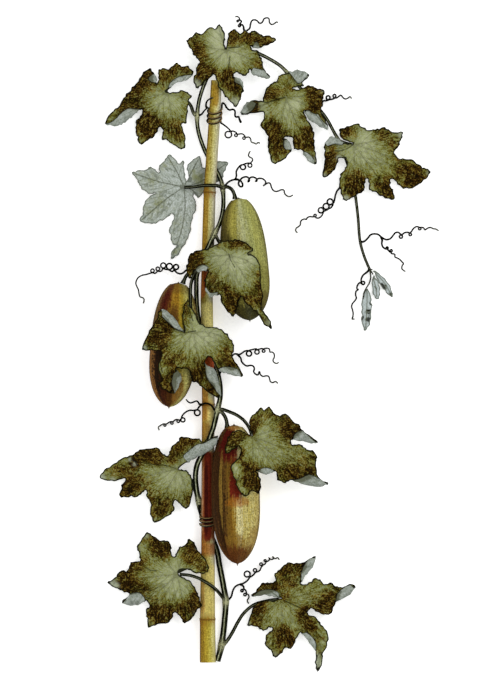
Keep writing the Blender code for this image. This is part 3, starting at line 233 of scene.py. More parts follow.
# Tendrils that wind round the cane: from y, to y, turns, side of the first point, how far each
# turn sags over the cane, then the wire before it and after it and the wires that join it to the stem
WRAPS = {
    "tendril_02": {
        "span": (109.0, 123.6), "turns": 3, "side": 0.0, "sag": 4.4,
        "before": [(241, 123, 5), (239.4, 119.4), (238.6, 117), (236.4, 117.4), (235, 116), (235, 111.6),
                   (233, 109.8), (229.5, 110.4), (226.5, 108), (225, 105), (222.4, 103.6, 10.4)],
        "after": [(223, 124.6, 9.6), (227, 127.6), (230.4, 131), ("loop", 228.4, 135, 3.3), (233, 131.4),
                  (236.4, 133), ("loop", 236, 135.6, 1.4), (238, 134.4), (242, 134), (244.8, 136),
                  ("loop", 244, 138.4, 1.3), (246, 137.4), (249, 137.2), (250.6, 139), (251.4, 142),
                  (254, 143), (256.4, 144), (258, 142.4), (260, 143.4, 1.6)],
        "roots": [[(197.2, 116.5, 7.0), (201.6, 114.6, 9), (204.6, 111, 11), (207.4, 108.6, 12),
                   (210.4, 108.4, 12.6)],
                  [(207, 108.8, 12), (206, 106, 12.4), (207, 102, 12.6), (210, 99.5, 14.4),
                   (213, 98.6, 16.6)]],
    },
    "tendril_11": {
        "span": (512.5, 523.4), "turns": 3, "side": math.pi, "sag": 3.0,
        "before": [(199.4, 503, 5), (199.2, 508.4, 8)],
        "after": [], "roots": [],
    },
}

# Blades. "edge" is the outline as it shows from above. "curls" are stretches of the edge,
# from one numbered point to another, where the margin rolls up and over to the line "over".
# "rest" is the height of the blade in millimetres at points on it.
LEAVES = {
    "leaf_01": {
        "base": (168, 95),
        "edge": [(166.5, 92.3), (175, 93), (182.5, 91), (191.6, 96.5), (189, 102), (187.8, 112),
                 (186.2, 123), (181.8, 125.5), (185.6, 139), (183.5, 149.7), (173, 145), (167.5, 140.8),
                 (161.5, 138.8), (163.2, 131), (159.6, 127.8), (154.5, 136.5), (146, 141.6), (140, 145),
                 (137.2, 137.5), (135.5, 130), (136.6, 120.5), (141.6, 115.5), (141.8, 109.8), (137, 112),
                 (131, 117), (124.5, 122), (117, 125.8), (105.3, 123.3), (111, 113.2), (119.5, 105.8),
                 (123.5, 98.5), (130.5, 90.5), (138.5, 81.5), (143.5, 73), (150, 69), (153.4, 73),
                 (156, 79), (157, 85.4), (158.6, 78), (158.7, 70.6), (164, 69), (170, 69), (176.4, 63.4),
                 (181.5, 66.8), (188.5, 66.8), (193.5, 74), (186, 79.8), (176, 83.4), (169.6, 89.5)],
        "curls": [(22, 27, [(139.6, 109.4), (128, 108.8), (121, 113.6), (114.5, 120), (108, 124)]),
                  (35, 37, [(149.6, 76), (148.6, 81), (153.4, 85)]),
                  (45, 48, [(191, 75.2), (181, 76.4), (172, 81.6), (168.6, 88)])],
        "rest": [(168, 95, 13), (107, 124, 6), (150, 71, 11), (190, 71, 9), (183, 147, 5), (140, 143, 5),
                 (188, 103, 13.4)],
    },
    "leaf_02": {
        "base": (227, 51),
        "edge": [(225.4, 50.6), (224.5, 44), (225.2, 37), (222.4, 28.4), (219.5, 25.4), (214.5, 29.4),
                 (208.5, 28.3), (202.5, 35), (196.5, 33.3), (190.5, 38.5), (186.5, 41.4), (188.5, 46),
                 (192, 52), (195, 57.5), (199.8, 62.4), (196.6, 67.5), (196.2, 73), (193.3, 81),
                 (197.5, 89.4), (203, 84.5), (209.5, 79.4), (214.5, 76), (217, 83), (219.4, 90),
                 (222.6, 92.5), (225, 97.8), (229.4, 101.4), (235.5, 108), (239.4, 102.5), (243.2, 92),
                 (242.4, 84.4), (238, 79.6), (233, 78), (236.6, 73.5), (241.4, 76), (245, 77.2),
                 (248.5, 73.5), (250.4, 71), (254, 75.4), (260, 76.6), (267.5, 79), (269, 75.4), (264, 70),
                 (262.7, 63), (259.5, 55.5), (256.5, 50.8), (252.6, 50.8), (251, 47.4), (256, 48.4),
                 (261.5, 48), (268, 45.6), (276.3, 41.2), (270, 36.5), (261.5, 36), (254.5, 31),
                 (249.5, 33.6), (245, 31), (240, 34.2), (233.5, 30), (228.6, 35), (227.1, 44)],
        "curls": [(29, 32, [(242, 88.4), (239, 85.6), (235.4, 84), (233.4, 80.6)]),
                  (37, 41, [(253.6, 68.6), (258, 69.6), (263.4, 70.6), (267.4, 73.4)]),
                  (47, 49, [(252.8, 44), (256.4, 42.2), (259.6, 45.4)])],
        "rest": [(227, 51, 20), (188, 42, 14), (219, 28, 15), (275, 41, 13), (258, 65, 15), (267, 76, 12),
                 (236, 104, 17.6), (232, 88, 19.4), (217, 82, 19.4), (197, 88, 15), (207, 78, 17.6),
                 (245, 33, 14.4)],
    },
    "leaf_03": {
        "base": (286, 98),
        "edge": [(262.4, 101), (263.6, 95), (268.4, 86.4), (276, 81.8), (280, 75.8), (287, 73.8),
                 (293, 72.8), (299, 71.7), (309, 75.6), (303, 82.6), (303, 86.4), (296, 87.8),
                 (292.5, 89.4), (300.5, 89.8), (307, 86.2), (313, 87), (317.6, 89.4), (323.4, 90),
                 (323.8, 96), (322.4, 101), (323, 105.6), (321, 112), (327.6, 125.4), (325.4, 129),
                 (314, 122.5), (308.4, 118.6), (304.6, 111.4), (306, 118), (312, 127), (314, 135),
                 (314.4, 143.5), (315.4, 153), (316.4, 164.4), (306.5, 158), (302, 150.5), (294, 149),
                 (292.5, 139.5), (288.4, 136.8), (285, 138.8), (289.6, 144.4), (290.6, 151.6), (283.5, 160),
                 (273, 164), (269.8, 156), (267.6, 147), (267.8, 137), (260.5, 125.6), (264.5, 117),
                 (261.4, 112.6), (250, 114.2), (241.6, 115), (246, 104.6), (254, 101)],
        "curls": [(5, 8, [(294, 79.6), (298.4, 84.6), (304.4, 80.4)]),
                  (22, 26, [(321.4, 116), (313.6, 113.8), (308.6, 110.8)]),
                  (32, 34, [(313, 158), (307.4, 152.8)]), (38, 40, [(283.2, 142), (284, 149)]),
                  (50, 52, [(246, 114.6), (253, 110.6), (256.6, 104)])],
        "rest": [(286, 98, 15), (268, 88, 12.6), (287, 78, 13.6), (306, 76, 10), (322, 92, 12.6),
                 (318, 110, 11.4), (326, 126, 9.6), (316, 162, 5), (273, 162, 5), (244, 111, 7)],
    },
    "leaf_04": {
        "base": (353, 145),
        "edge": [(352.6, 143.4), (345, 141.2), (339.4, 136), (340, 129.4), (349, 126.6), (357, 124),
                 (363.5, 128.4), (369, 130.5), (377, 129.4), (384.7, 127.7), (392, 132.4), (402.5, 132.5),
                 (401, 139), (398.4, 146.5), (394, 152.8), (400, 159), (411, 159.5), (418, 164.6),
                 (424, 168), (430.2, 171.4), (426, 179), (416.5, 185.8), (411, 188.6), (401, 187.6),
                 (395, 180.8), (390.4, 179.6), (390.6, 186.8), (393, 191), (394, 199.6), (382, 197),
                 (376, 192.8), (369, 190), (368.6, 182), (366.4, 179), (364.5, 184), (364, 190.6),
                 (357, 195), (351, 198.6), (345, 201), (341.4, 196), (339.2, 184), (340.5, 174.5),
                 (346.6, 166), (345, 159), (341.4, 158.6), (338.2, 159.6), (336.6, 166), (331.5, 173.4),
                 (322.8, 178), (324, 165), (324.4, 153), (324.2, 146), (330, 138.4), (337, 139.6),
                 (345, 144.2)],
        "curls": [(51, 54, [(328.4, 146.8), (334, 144.8), (341, 146)])],
        "rest": [(353, 145, 13.2), (343, 131, 11.6), (357, 126, 12), (400, 135, 8), (428, 172, 5),
                 (392, 197, 4), (366, 182, 8.6), (346, 199, 8.4), (324, 175, 6), (329, 142, 10.6)],
    },
    "leaf_05": {
        "base": (184, 187),
        "edge": [(186.4, 181), (191, 180.4), (187.4, 171.4), (188, 164.8), (193.5, 159.4), (199.4, 156.2),
                 (202.6, 167.2), (208, 167), (219, 161.4), (228, 163), (224, 172), (222.4, 178.4),
                 (211, 186), (204.5, 192), (198, 197.6), (193, 192.6), (195.6, 202), (196, 209.4),
                 (191.6, 221.5), (190.4, 232), (185, 244), (178, 255), (171.4, 258.6), (171.6, 251.6),
                 (177.6, 245.6), (172, 243.6), (170.6, 235), (169, 230.4), (173.8, 219), (172.4, 213.4),
                 (166, 218.4), (158.5, 222), (152, 224), (140.4, 221.4), (143, 213), (143.4, 206),
                 (148.4, 197.4), (155.6, 193.2), (148.5, 193.7), (140.4, 187), (137.6, 180.4), (132, 173.4),
                 (137, 171), (146.5, 169.8), (151, 166.5), (158.6, 172.6), (159.4, 165.2), (164.6, 161),
                 (168, 154.6), (174, 157.6), (178.8, 164), (183.2, 160.6), (184.6, 172)],
        "curls": [],
        "rest": [(184, 187, 2.6), (134, 174, 4), (168, 157, 3), (199, 160, 1), (212, 168, 0.9),
                 (226, 164, 0.9), (220, 178, 0.9), (208, 180, 0.9), (199, 194, 1), (196, 180, 1.2),
                 (192, 205, 1.6), (172, 256, 3), (141, 220, 4)],
    },
    "leaf_06": {
        "base": (230, 256),
        "edge": [(222, 242), (214, 246.4), (206, 249.8), (197, 251.2), (190, 255), (188, 262), (186.4, 270),
                 (190, 279.4), (194.4, 271.6), (200, 271.6), (208.4, 271), (205.4, 279), (205.4, 287),
                 (210, 296.6), (219.8, 294.6), (221, 301.6), (226, 310), (233.4, 316.6), (237, 309),
                 (240.5, 297.5), (246, 304), (252, 309), (258.6, 315.4), (264, 324.5), (271.4, 328.4),
                 (269.5, 319), (261.6, 309.4), (262.8, 296), (260.6, 283), (260.8, 270), (256, 258),
                 (247.6, 254.2), (253.6, 251.4), (246, 243.4), (237, 240.4), (229.5, 241.4)],
        "curls": [(8, 10, [(195.6, 268), (202.6, 265), (208.6, 267.6)]),
                  (12, 14, [(206.6, 287.6), (210.4, 293), (218.6, 292.4)])],
        "rest": [(230, 256, 42), (215, 247, 36), (205, 258, 30), (189, 262, 27), (190, 278, 26),
                 (207, 290, 28), (222, 285, 41), (240, 270, 46.4), (252, 285, 46), (261, 275, 42),
                 (248, 300, 42), (232, 314, 33), (270, 326, 25), (252, 251, 45), (237, 243, 43.4)],
    },
    "leaf_07": {
        "base": (194, 332),
        "edge": [(184.8, 332.6), (182.6, 321), (183.6, 310), (188, 299.4), (191.6, 307.5), (196.4, 314),
                 (198.6, 321.4), (208, 327.2), (215, 327), (223.5, 331), (230.5, 338.5), (234.4, 347.5),
                 (232.6, 356), (238.6, 366.6), (243, 375.4), (233, 374.4), (224, 371.8), (217.6, 368.6),
                 (213, 360.5), (210, 356.6), (205, 361), (208, 367), (214.6, 370), (218, 384),
                 (219.6, 397.4), (208, 392), (198, 383.4), (192.6, 380.6), (191, 375), (189, 369.4),
                 (182, 368.2), (176, 369.6), (180.4, 373.4), (180.8, 380.6), (174.8, 392.6), (166, 390.6),
                 (159.2, 383.6), (162.6, 379), (158.6, 368), (162.4, 352.8), (152, 350.4), (143, 349.6),
                 (146.5, 338.6), (151.5, 328.5), (156.6, 321), (160.4, 310.6), (167, 312), (175, 319.6)],
        "curls": [(14, 17, [(237, 368.2), (229, 366.4), (221.6, 367)]),
                  (20, 24, [(206, 373), (209, 381.4), (213.6, 387)]),
                  (31, 34, [(173.4, 375), (172.2, 384)]),
                  (45, 48, [(163, 317), (168.6, 323), (177, 329.6)])],
        "rest": [(194, 332, 39.4), (188, 303, 37.6), (191, 315, 38.6), (175, 343, 46.4), (165, 330, 45),
                 (162, 314, 41), (150, 338, 41), (144, 349, 38), (165, 362, 46), (180, 362, 46),
                 (164, 386, 40), (176, 388, 39.4), (190, 350, 43), (205, 340, 33), (215, 329, 27),
                 (232, 342, 22), (240, 370, 17), (205, 370, 29), (218, 394, 20)],
    },
    "leaf_08": {
        "base": (179, 469),
        "edge": [(178.4, 468.8), (186, 469.8), (191, 475), (192.6, 484), (192.8, 494), (187.6, 508.6),
                 (180, 504), (176, 499.8), (173.6, 504), (174.4, 510.6), (166, 517), (154.5, 522.4),
                 (150.2, 511), (150.8, 503.4), (147, 496.5), (146.4, 489.8), (142.6, 492.6), (138, 496.4),
                 (129, 496.6), (120, 496.4), (122, 485.4), (126, 478.4), (116, 480.6), (108, 480.6),
                 (100, 477.6), (104.5, 470), (114.5, 463.5), (123, 457.6), (132, 455), (140, 449.4),
                 (149, 448.4), (158.5, 447.6), (163.4, 453.8), (169, 454.4), (171, 447.6), (177.4, 441.4),
                 (182, 436), (191, 437.8), (199.5, 438.4), (203, 441), (210, 438.4), (217.6, 435.4),
                 (214, 445.6), (205, 452), (195, 457), (186.5, 462.4)],
        "curls": [(41, 45, [(210, 439), (204, 442.6), (197, 443.8), (189, 450), (183.4, 455.4)])],
        "rest": [(179, 469, 13.4), (187, 506, 10.4), (192, 484, 12.6), (155, 520, 5), (122, 494, 5),
                 (102, 477, 6), (130, 462, 11), (150, 450, 13), (184, 439, 20), (190, 455, 19.4),
                 (199, 448, 23.6), (208, 444, 25.6), (216, 437, 25.6)],
    },
    "leaf_09": {
        "base": (252.8, 436),
        "edge": [(252.4, 434.6), (249.6, 427), (250, 417.6), (255, 413), (260, 407.4), (264, 409),
                 (269.5, 406.6), (275, 413.8), (281, 414.6), (286.5, 413.4), (293, 421), (300, 425),
                 (301.6, 429.4), (309, 434.6), (317.2, 440.8), (311, 442.4), (302, 440), (291, 439),
                 (292.5, 443.9), (300.5, 444), (306.5, 449), (312, 449.7), (317, 456), (315.6, 462),
                 (318, 476.6), (327.6, 482.4), (319, 485.6), (304, 483.2), (292, 479), (285, 482.2),
                 (277.5, 479), (275.6, 470.2), (266, 472.5), (256.4, 469.4), (260.6, 478), (259, 492),
                 (252, 489.6), (245, 495.6), (237.5, 487), (235, 478.5), (230.6, 466), (238.6, 456.6),
                 (241, 450.4), (238.4, 445.6), (232, 450), (225.4, 452.6), (226.4, 442), (231, 432.4),
                 (239, 429.4), (246.4, 432.4)],
        "curls": [(14, 17, [(306, 431.6), (300.5, 430), (294.4, 433.4)]),
                  (25, 28, [(317, 477), (308.6, 473.6), (300, 477.4)]),
                  (31, 33, [(270, 467.2), (263.4, 466.6)])],
        "rest": [(252.8, 436, 41), (250, 424, 39.6), (228, 446, 43), (234, 470, 47), (246, 490, 47),
                 (258, 486, 45), (258, 462, 46), (272, 445, 39), (262, 411, 30), (299, 427, 22),
                 (315, 441, 18), (314, 458, 20), (325, 482, 14), (284, 478, 28)],
    },
    "leaf_10": {
        "base": (177, 573.5),
        "edge": [(178, 572.4), (183, 568.6), (189, 569), (197, 572.6), (206.4, 572.2), (209, 567),
                 (205.4, 557.6), (198.6, 550.6), (195.5, 544), (189.5, 538.2), (184.6, 544.8),
                 (179.4, 546.4), (176, 553.6), (172.6, 555.2), (171.4, 551.4), (171.6, 546), (167.6, 539.8),
                 (161.5, 540.6), (154, 536), (147.2, 532), (141, 540.4), (137, 546.4), (139, 553),
                 (139.8, 560.4), (131, 562), (128, 570), (119.5, 571), (115, 577.8), (107.6, 582.4),
                 (114, 587), (122, 590.7), (130, 594.6), (121.8, 601.2), (131, 604.2), (139.5, 603.2),
                 (146.4, 600.2), (149.2, 605.4), (145.7, 611), (147.3, 618), (148.3, 627.2), (158, 624),
                 (168, 622.4), (172.4, 617), (175.6, 611.6), (181, 617.4), (185, 622.7), (193, 617),
                 (197.4, 609), (201.4, 605.8), (199.6, 596.6), (196, 588.4), (190.6, 580.4), (183, 576.2)],
        "curls": [(32, 35, [(130, 593.4), (139.4, 591.8), (144.8, 597)])],
        "rest": [(177, 573.5, 17.6), (206, 565, 20.8), (190, 542, 17), (198, 572, 21), (147, 536, 7),
                 (109, 582, 5), (124, 600, 6), (150, 624, 5), (186, 619, 11), (199, 601, 19.4),
                 (193, 585, 19.6)],
    },
    "leaf_11": {
        "base": (281, 598),
        "edge": [(281, 596.9), (272, 594.8), (264, 593.6), (251.4, 595.4), (257, 589), (261.5, 583),
                 (269, 582), (274.6, 581.4), (275, 573), (281, 567.6), (287.5, 562.4), (296, 563),
                 (304.6, 561.6), (315, 556), (311.6, 566.5), (306, 573.4), (300.8, 582.6), (307, 583.4),
                 (315, 578), (320, 579.4), (324, 583.7), (331, 582.6), (337, 586.4), (344, 586.4),
                 (351, 583.2), (354.8, 586.8), (347, 595), (336, 601.6), (331.6, 612.5), (325, 614.4),
                 (317, 611.6), (311, 608), (307.4, 613.4), (316, 617), (321, 624), (327.8, 633), (327, 645),
                 (322.6, 654), (322.6, 662), (317.6, 671.8), (315.2, 662), (315.6, 651), (308.5, 639.6),
                 (300.5, 632), (296.2, 639), (291, 648.6), (285.5, 647.4), (281, 653.6), (274, 657),
                 (270.6, 649.6), (265.4, 645.6), (266, 634.6), (272.4, 629), (270.6, 626.6), (263, 630.4),
                 (256, 626), (247.6, 624.6), (251, 612.6), (254.6, 604), (264, 600.3), (276, 599.2)],
        "curls": [(0, 3, [(277, 590.4), (268, 588.4), (259, 590.4)]),
                  (13, 16, [(307.4, 559.6), (301.8, 569), (300.6, 577)]),
                  (25, 27, [(350, 584), (341, 588.6), (336.2, 595)]), (41, 43, [(316, 642), (308, 632.4)])],
        "rest": [(281, 598, 13.8), (264, 602, 13.8), (252, 594, 11.4), (272, 585, 12), (290, 566, 9),
                 (313, 558, 6), (352, 587, 6), (327, 611, 7), (326, 640, 7), (317, 668, 3.6), (275, 654, 5),
                 (249, 623, 7)],
    },
    "young_leaf_1": {
        "base": (367, 289.5),
        "edge": [(367.6, 288.6), (370.6, 296), (371.6, 305), (371, 318), (368.8, 326), (365.3, 330.4),
                 (362, 324), (361.4, 312), (362.4, 298), (364.8, 291)],
        "curls": [],
        "rest": [(367, 290, 4.4), (366, 328, 2.4)],
    },
    "young_leaf_2": {
        "base": (372.6, 277),
        "edge": [(373.4, 275.6), (377.6, 281), (379.8, 289), (378.8, 298.4), (374.4, 297.4), (372.4, 290),
                 (371.8, 281)],
        "curls": [],
        "rest": [(373, 277, 5.6), (377, 297, 3)],
    },
    "young_leaf_3": {
        "base": (373.6, 271.6),
        "edge": [(373.2, 270.2), (378.6, 273.4), (386, 280.4), (391.2, 288.4), (392.2, 297.4), (386, 292.4),
                 (380, 285), (376.4, 277.4)],
        "curls": [],
        "rest": [(374, 272, 5.6), (391, 295, 3)],
    },
}
YOUNG_PETIOLES = {
    "young_leaf_1": [(369.6, 269.5, 4), (370.6, 277, 4.4), (369.2, 283, 5.4), (366.2, 288, 6.2),
                     (363.8, 293, 6.4), (362.8, 299, 6)],
    "young_leaf_2": [(369.6, 269.5, 4), (371.8, 272.6, 4.6), (372.8, 274.4, 5)],
    "young_leaf_3": [(369.6, 269.5, 4), (371.6, 269.6, 4.6), (372.2, 269.8, 5)],
}
YOUNG_PETIOLE_RADIUS = 0.0007
# What is drawn on each blade. "veins" run from the base to the tips of the lobes. "dark", "pale"
# and "grey" are soft spots: x, y, radius, strength. "folds" are creases that show as dark lines.
# The dark spots are partly the blade's own colour and partly painted shade, as where leaf_06 meets the upper
# gourd and in its shaded lower lobe.
MARKS = {
    "leaf_01": {
        "veins": [[(168, 95), (155, 96), (140, 101), (124, 110), (109, 123)],
                  [(168, 95), (158, 89), (150, 82), (148, 74)],
                  [(168, 95), (169, 85), (176, 76), (188, 71)],
                  [(168, 95), (158, 109), (149, 126), (141, 142)],
                  [(168, 95), (171, 112), (176, 131), (181, 147)], [(168, 95), (179, 97), (188, 102)]],
        "dark": [(166, 100, 24, .1), (141, 82, 9, .5), (133, 94, 9, .55), (122, 106, 6, .3),
                 (148, 76, 7, .35), (152, 84, 6, .3), (165, 78, 7, .5), (173, 72, 6, .35), (183, 71, 6, .3),
                 (163, 86, 5, .3), (148, 122, 10, .6), (147, 132, 8, .4), (155, 124, 6, .35),
                 (172, 128, 7, .35), (178, 136, 6, .25), (182, 95, 5, .2), (137, 104, 7, .35)],
        "pale": [(160, 82, 6, .35), (166, 101, 12, .35), (158, 108, 7, .2), (174, 108, 9, .2),
                 (186, 118, 4, .25), (185, 102, 3, .2), (172, 144, 5, .45), (183, 148, 5, .45),
                 (163, 135, 3, .3)],
        "grey": [(165, 138, 3, .5), (178, 147, 4, .5), (187, 121, 2.5, .6)],
    },
    "leaf_02": {
        "veins": [[(227, 51), (211, 49), (190, 42)], [(227, 51), (222, 40), (219, 28)],
                  [(227, 51), (240, 46), (256, 42), (273, 41)], [(227, 51), (241, 56), (257, 63)],
                  [(227, 51), (229, 68), (231, 86), (235, 105)],
                  [(227, 51), (215, 62), (205, 74), (197, 87)]],
        "dark": [(195, 45, 8, .3), (200, 54, 8, .4), (208, 68, 8, .4), (203, 76, 7, .45), (228, 74, 6, .65),
                 (226, 83, 6, .55), (234, 88, 7, .6), (232, 37, 6, .75), (231, 45, 5, .5), (244, 40, 7, .5),
                 (255, 41, 7, .5), (264, 42, 6, .4), (258, 62, 6, .2), (214, 75, 5, .3), (237, 93, 4, .35)],
        "pale": [(218, 42, 10, .55), (217, 32, 7, .6), (224, 60, 10, .35), (238, 58, 10, .25),
                 (219, 87, 5, .35), (229, 95, 5, .5), (236, 103, 5, .5), (252, 56, 7, .2)],
        "grey": [(196, 86, 6, .9), (235, 103, 6, .8), (219, 28, 6, .5), (221, 38, 6, .35), (225, 92, 3, .4),
                 (274, 41, 3, .4), (244, 76, 3, .3)],
        "folds": [[(230, 57), (229.5, 64), (228, 71), (230.6, 79)], [(228, 49), (234, 48.6), (240, 48)]],
    },
    "leaf_03": {
        "veins": [[(286, 98), (277, 95), (266, 97)], [(286, 98), (287, 87), (292, 78)],
                  [(286, 98), (302, 97), (319, 95)], [(286, 98), (300, 103), (313, 112), (325, 127)],
                  [(286, 98), (293, 117), (303, 138), (314, 160)],
                  [(286, 98), (282, 116), (276, 138), (273, 161)],
                  [(286, 98), (270, 104), (256, 107), (244, 113)]],
        "dark": [(253, 107.5, 4.4, 1.2), (288, 89, 9, .4), (268, 97, 7, .5), (277, 98, 6, .45),
                 (272, 90, 7, .3), (312, 91, 7, .55), (316, 100, 8, .7), (313, 109, 6, .5),
                 (273, 127, 8, .6), (272, 137, 8, .75), (276, 148, 8, .55), (304, 132, 7, .5),
                 (301, 143, 7, .5), (313, 144, 6, .6), (309, 130, 5, .3), (253, 107, 4, 1),
                 (303, 116, 5, .3), (285, 136, 5, .35)],
        "pale": [(308, 124, 10, .35), (298, 130, 7, .2), (290, 106, 9, .35), (298, 104, 6, .3),
                 (285, 118, 8, .25), (262, 107, 7, .4), (272, 158, 6, .3), (289, 124, 6, .25),
                 (267, 112, 5, .2)],
        "grey": [(244, 112, 6, .9), (262, 106, 6, .45), (272, 162, 3, .6), (305, 76, 6, .9),
                 (299, 80, 5, .6), (322, 92, 3, .5), (315, 161, 5, .8), (247, 104, 4, .7)],
        "folds": [[(262, 102), (268, 103), (276, 100.6), (285, 98)], [(258, 103), (257.4, 108), (256, 112)]],
    },
    "leaf_04": {
        "veins": [[(353, 145), (348, 137), (343, 132)], [(353, 145), (357, 135), (358, 126)],
                  [(353, 145), (371, 142), (386, 138), (400, 134)],
                  [(353, 145), (376, 152), (402, 164), (428, 171)],
                  [(353, 145), (367, 163), (380, 181), (392, 197)],
                  [(353, 145), (354, 165), (350, 183), (346, 199)],
                  [(353, 145), (338, 150), (331, 160), (324, 176)]],
        "dark": [(343, 133, 7, .6), (351, 132, 6, .4), (330, 158, 7, .6), (328, 168, 6, .55),
                 (332, 148, 5, .3), (355, 181, 9, .65), (352, 190, 8, .45), (361, 187, 5, .4),
                 (384, 186, 8, .6), (389, 194, 6, .5), (376, 184, 5, .25), (403, 171, 9, .4),
                 (414, 175, 9, .5), (410, 183, 6, .4), (386, 136, 8, .3), (394, 145, 7, .35),
                 (395, 160, 7, .25), (377, 133, 6, .25)],
        "pale": [(350, 174, 7, .3), (374, 184, 7, .35), (384, 160, 13, .4), (396, 139, 8, .35),
                 (364, 150, 14, .3), (367, 138, 7, .3), (371, 165, 8, .15), (344, 184, 4, .25),
                 (371, 190, 4, .4), (346, 197, 4, .3), (360, 160, 8, .15)],
        "grey": [(401, 135, 4, .9), (346, 199, 4, .9), (429, 173, 3.5, .7), (369, 188, 2.5, .6),
                 (324, 176, 3.5, .8), (395, 186, 3, .3), (324, 150, 3, .5), (339, 158, 3.5, .9)],
        "folds": [[(335, 151.4), (342, 151), (348, 148.6), (353, 145)],
                  [(341, 155.4), (345.6, 157.6), (347.6, 163), (346.6, 168)]],
    },
    "leaf_05": {
        "veins": [[(184, 187), (160, 182), (135, 174)], [(184, 187), (177, 172), (168, 157)],
                  [(184, 187), (190, 175), (198, 160)], [(184, 187), (200, 182), (214, 172), (226, 164)],
                  [(184, 187), (165, 200), (142, 220)], [(184, 187), (185, 208), (181, 232), (173, 255)],
                  [(184, 187), (192, 190), (198, 196)]],
        "dark": [(198, 179, 7, .7), (193, 172, 5, .35), (160, 202, 7, .45), (152, 180, 6, .35),
                 (165, 187, 6, .3), (175, 250, 5, .4), (200, 191, 5, .5), (163, 166, 4, .3),
                 (150, 212, 6, .3), (172, 164, 4, .25), (177, 222, 5, .2)],
    },
    "leaf_06": {
        "veins": [[(230, 256), (212, 257), (196, 261), (190, 276)],
                  [(230, 256), (228, 280), (231, 300), (233, 314)],
                  [(230, 256), (245, 278), (257, 300), (269, 326)], [(230, 256), (219, 272), (209, 292)],
                  [(230, 256), (222, 249), (213, 247)], [(230, 256), (241, 249), (246, 244)],
                  [(230, 256), (246, 261), (259, 270)]],
        "dark": [(195, 257, 7, .65), (192, 266, 6, .6), (201, 263, 5, .35), (232, 300, 8, .65),
                 (229, 290, 6, .4), (235, 308, 5, .5), (214, 287, 7, .3), (211, 277, 7, .25),
                 (260, 286, 5, .45), (256, 298, 6, .4), (245, 298, 5, .45), (238, 243, 7, .65),
                 (230, 247, 6, .5), (247, 248, 5, .4), (262, 304, 5, .3), (222, 285, 6, .2),
                 (218, 246, 3, .5), (258, 275, 4, .3)],
        "pale": [(258, 262, 8, .35), (236, 272, 22, .22), (240, 286, 9, .25), (234, 262, 10, .35),
                 (250, 260, 9, .4), (222, 257, 8, .2), (240, 277, 8, .25), (213, 254, 7, .15)],
        "grey": [(269, 323, 6, .55), (216, 246, 3, .4), (207, 296, 2.5, .6), (254, 259, 5, .3)],
        "folds": [[(229, 255), (231, 261), (235, 268)], [(241, 297), (243, 304), (242, 309)],
                  [(246, 253.4), (251, 254.4), (256, 258)], [(260, 272), (262, 282), (262, 293)]],
    },
    "leaf_07": {
        "veins": [[(194, 332), (190, 318), (188, 302)], [(194, 332), (172, 337), (146, 347)],
                  [(194, 332), (176, 328), (163, 314)], [(194, 332), (181, 351), (169, 371), (171, 389)],
                  [(194, 332), (197, 352), (205, 374), (218, 394)],
                  [(194, 332), (212, 346), (228, 360), (241, 374)], [(194, 332), (212, 333), (230, 341)]],
        "dark": [(160, 325, 7, .55), (157, 336, 8, .6), (168, 330, 7, .75), (192, 379, 6, .5),
                 (150, 344, 5, .25), (187, 313, 5, .55), (186, 324, 5, .35), (171, 360, 7, .3),
                 (170, 385, 7, .7), (177, 372, 5, .45), (170, 376, 6, .3), (199, 374, 7, .7),
                 (202, 365, 5, .5), (210, 388, 6, .55), (187, 371, 5, .5), (232, 365, 6, .45),
                 (222, 360, 7, .3), (180, 357, 6, .25), (193, 361, 7, .3), (163, 345, 6, .35),
                 (226, 350, 6, .2)],
        "pale": [(192, 366, 9, .5), (205, 338, 13, .5), (218, 336, 9, .35), (163, 371, 6, .35),
                 (192, 343, 8, .2), (195, 318, 5, .3), (178, 342, 6, .1)],
        "grey": [(145, 348, 3.5, .9), (219, 334, 7, .35), (195, 316, 3.5, .4)],
        "folds": [[(187, 303), (190, 311), (193.4, 321)], [(184.6, 333), (190, 332), (196, 331)],
                  [(162.6, 353), (161, 362), (163, 372)]],
    },
    "leaf_08": {
        "veins": [[(179, 469), (156, 466), (130, 467), (104, 476)],
                  [(179, 469), (154, 474), (137, 484), (123, 495)],
                  [(179, 469), (168, 488), (161, 505), (155, 520)], [(179, 469), (185, 486), (187, 506)],
                  [(179, 469), (182, 456), (188, 446), (198, 440)], [(179, 469), (165, 459), (151, 450)]],
        "dark": [(148, 455, 8, .65), (159, 459, 7, .6), (138, 457, 6, .5), (169, 461, 5, .4),
                 (177, 452, 7, .65), (185, 443, 6, .5), (175, 461, 4, .35), (133, 466, 5, .5),
                 (121, 470, 6, .25), (131, 486, 8, .6), (125, 490, 6, .35), (163, 504, 8, .55),
                 (158, 513, 5, .3), (187, 498, 5, .4), (152, 497, 4, .3), (193, 441, 4, .4),
                 (139, 480, 5, .3)],
        "pale": [(170, 478, 14, .3), (150, 470, 9, .3), (182, 486, 6, .2), (108, 474, 6, .25)],
        "grey": [(102, 477, 4, 1), (113, 480, 4, .8), (130, 459, 2.6, .8), (135, 464, 2.6, .8),
                 (154, 520, 3, .4), (187, 505, 3, .3)],
        "folds": [[(132, 458), (137, 464), (139, 470), (135, 474)],
                  [(136, 461), (150, 463.6), (165, 465), (176, 468)]],
    },
    "leaf_09": {
        "veins": [[(252.8, 436), (257, 422), (261, 409)],
                  [(252.8, 436), (272, 430), (288, 424), (300, 427)],
                  [(252.8, 436), (279, 446), (300, 452), (316, 458)],
                  [(252.8, 436), (278, 459), (303, 473), (318, 479)],
                  [(252.8, 436), (266, 456), (282, 479)], [(252.8, 436), (253, 460), (256, 488)],
                  [(252.8, 436), (240, 438), (228, 449)]],
        "dark": [(264, 440, 20, .2), (255, 424, 6, .7), (253, 432, 4, .5), (260, 414, 5, .3),
                 (236, 438, 7, .7), (231, 443, 5, .5), (243, 435, 5, .4), (294, 427, 8, .6),
                 (287, 434, 6, .6), (282, 421, 7, .3), (272, 414, 6, .25), (252, 470, 8, .6),
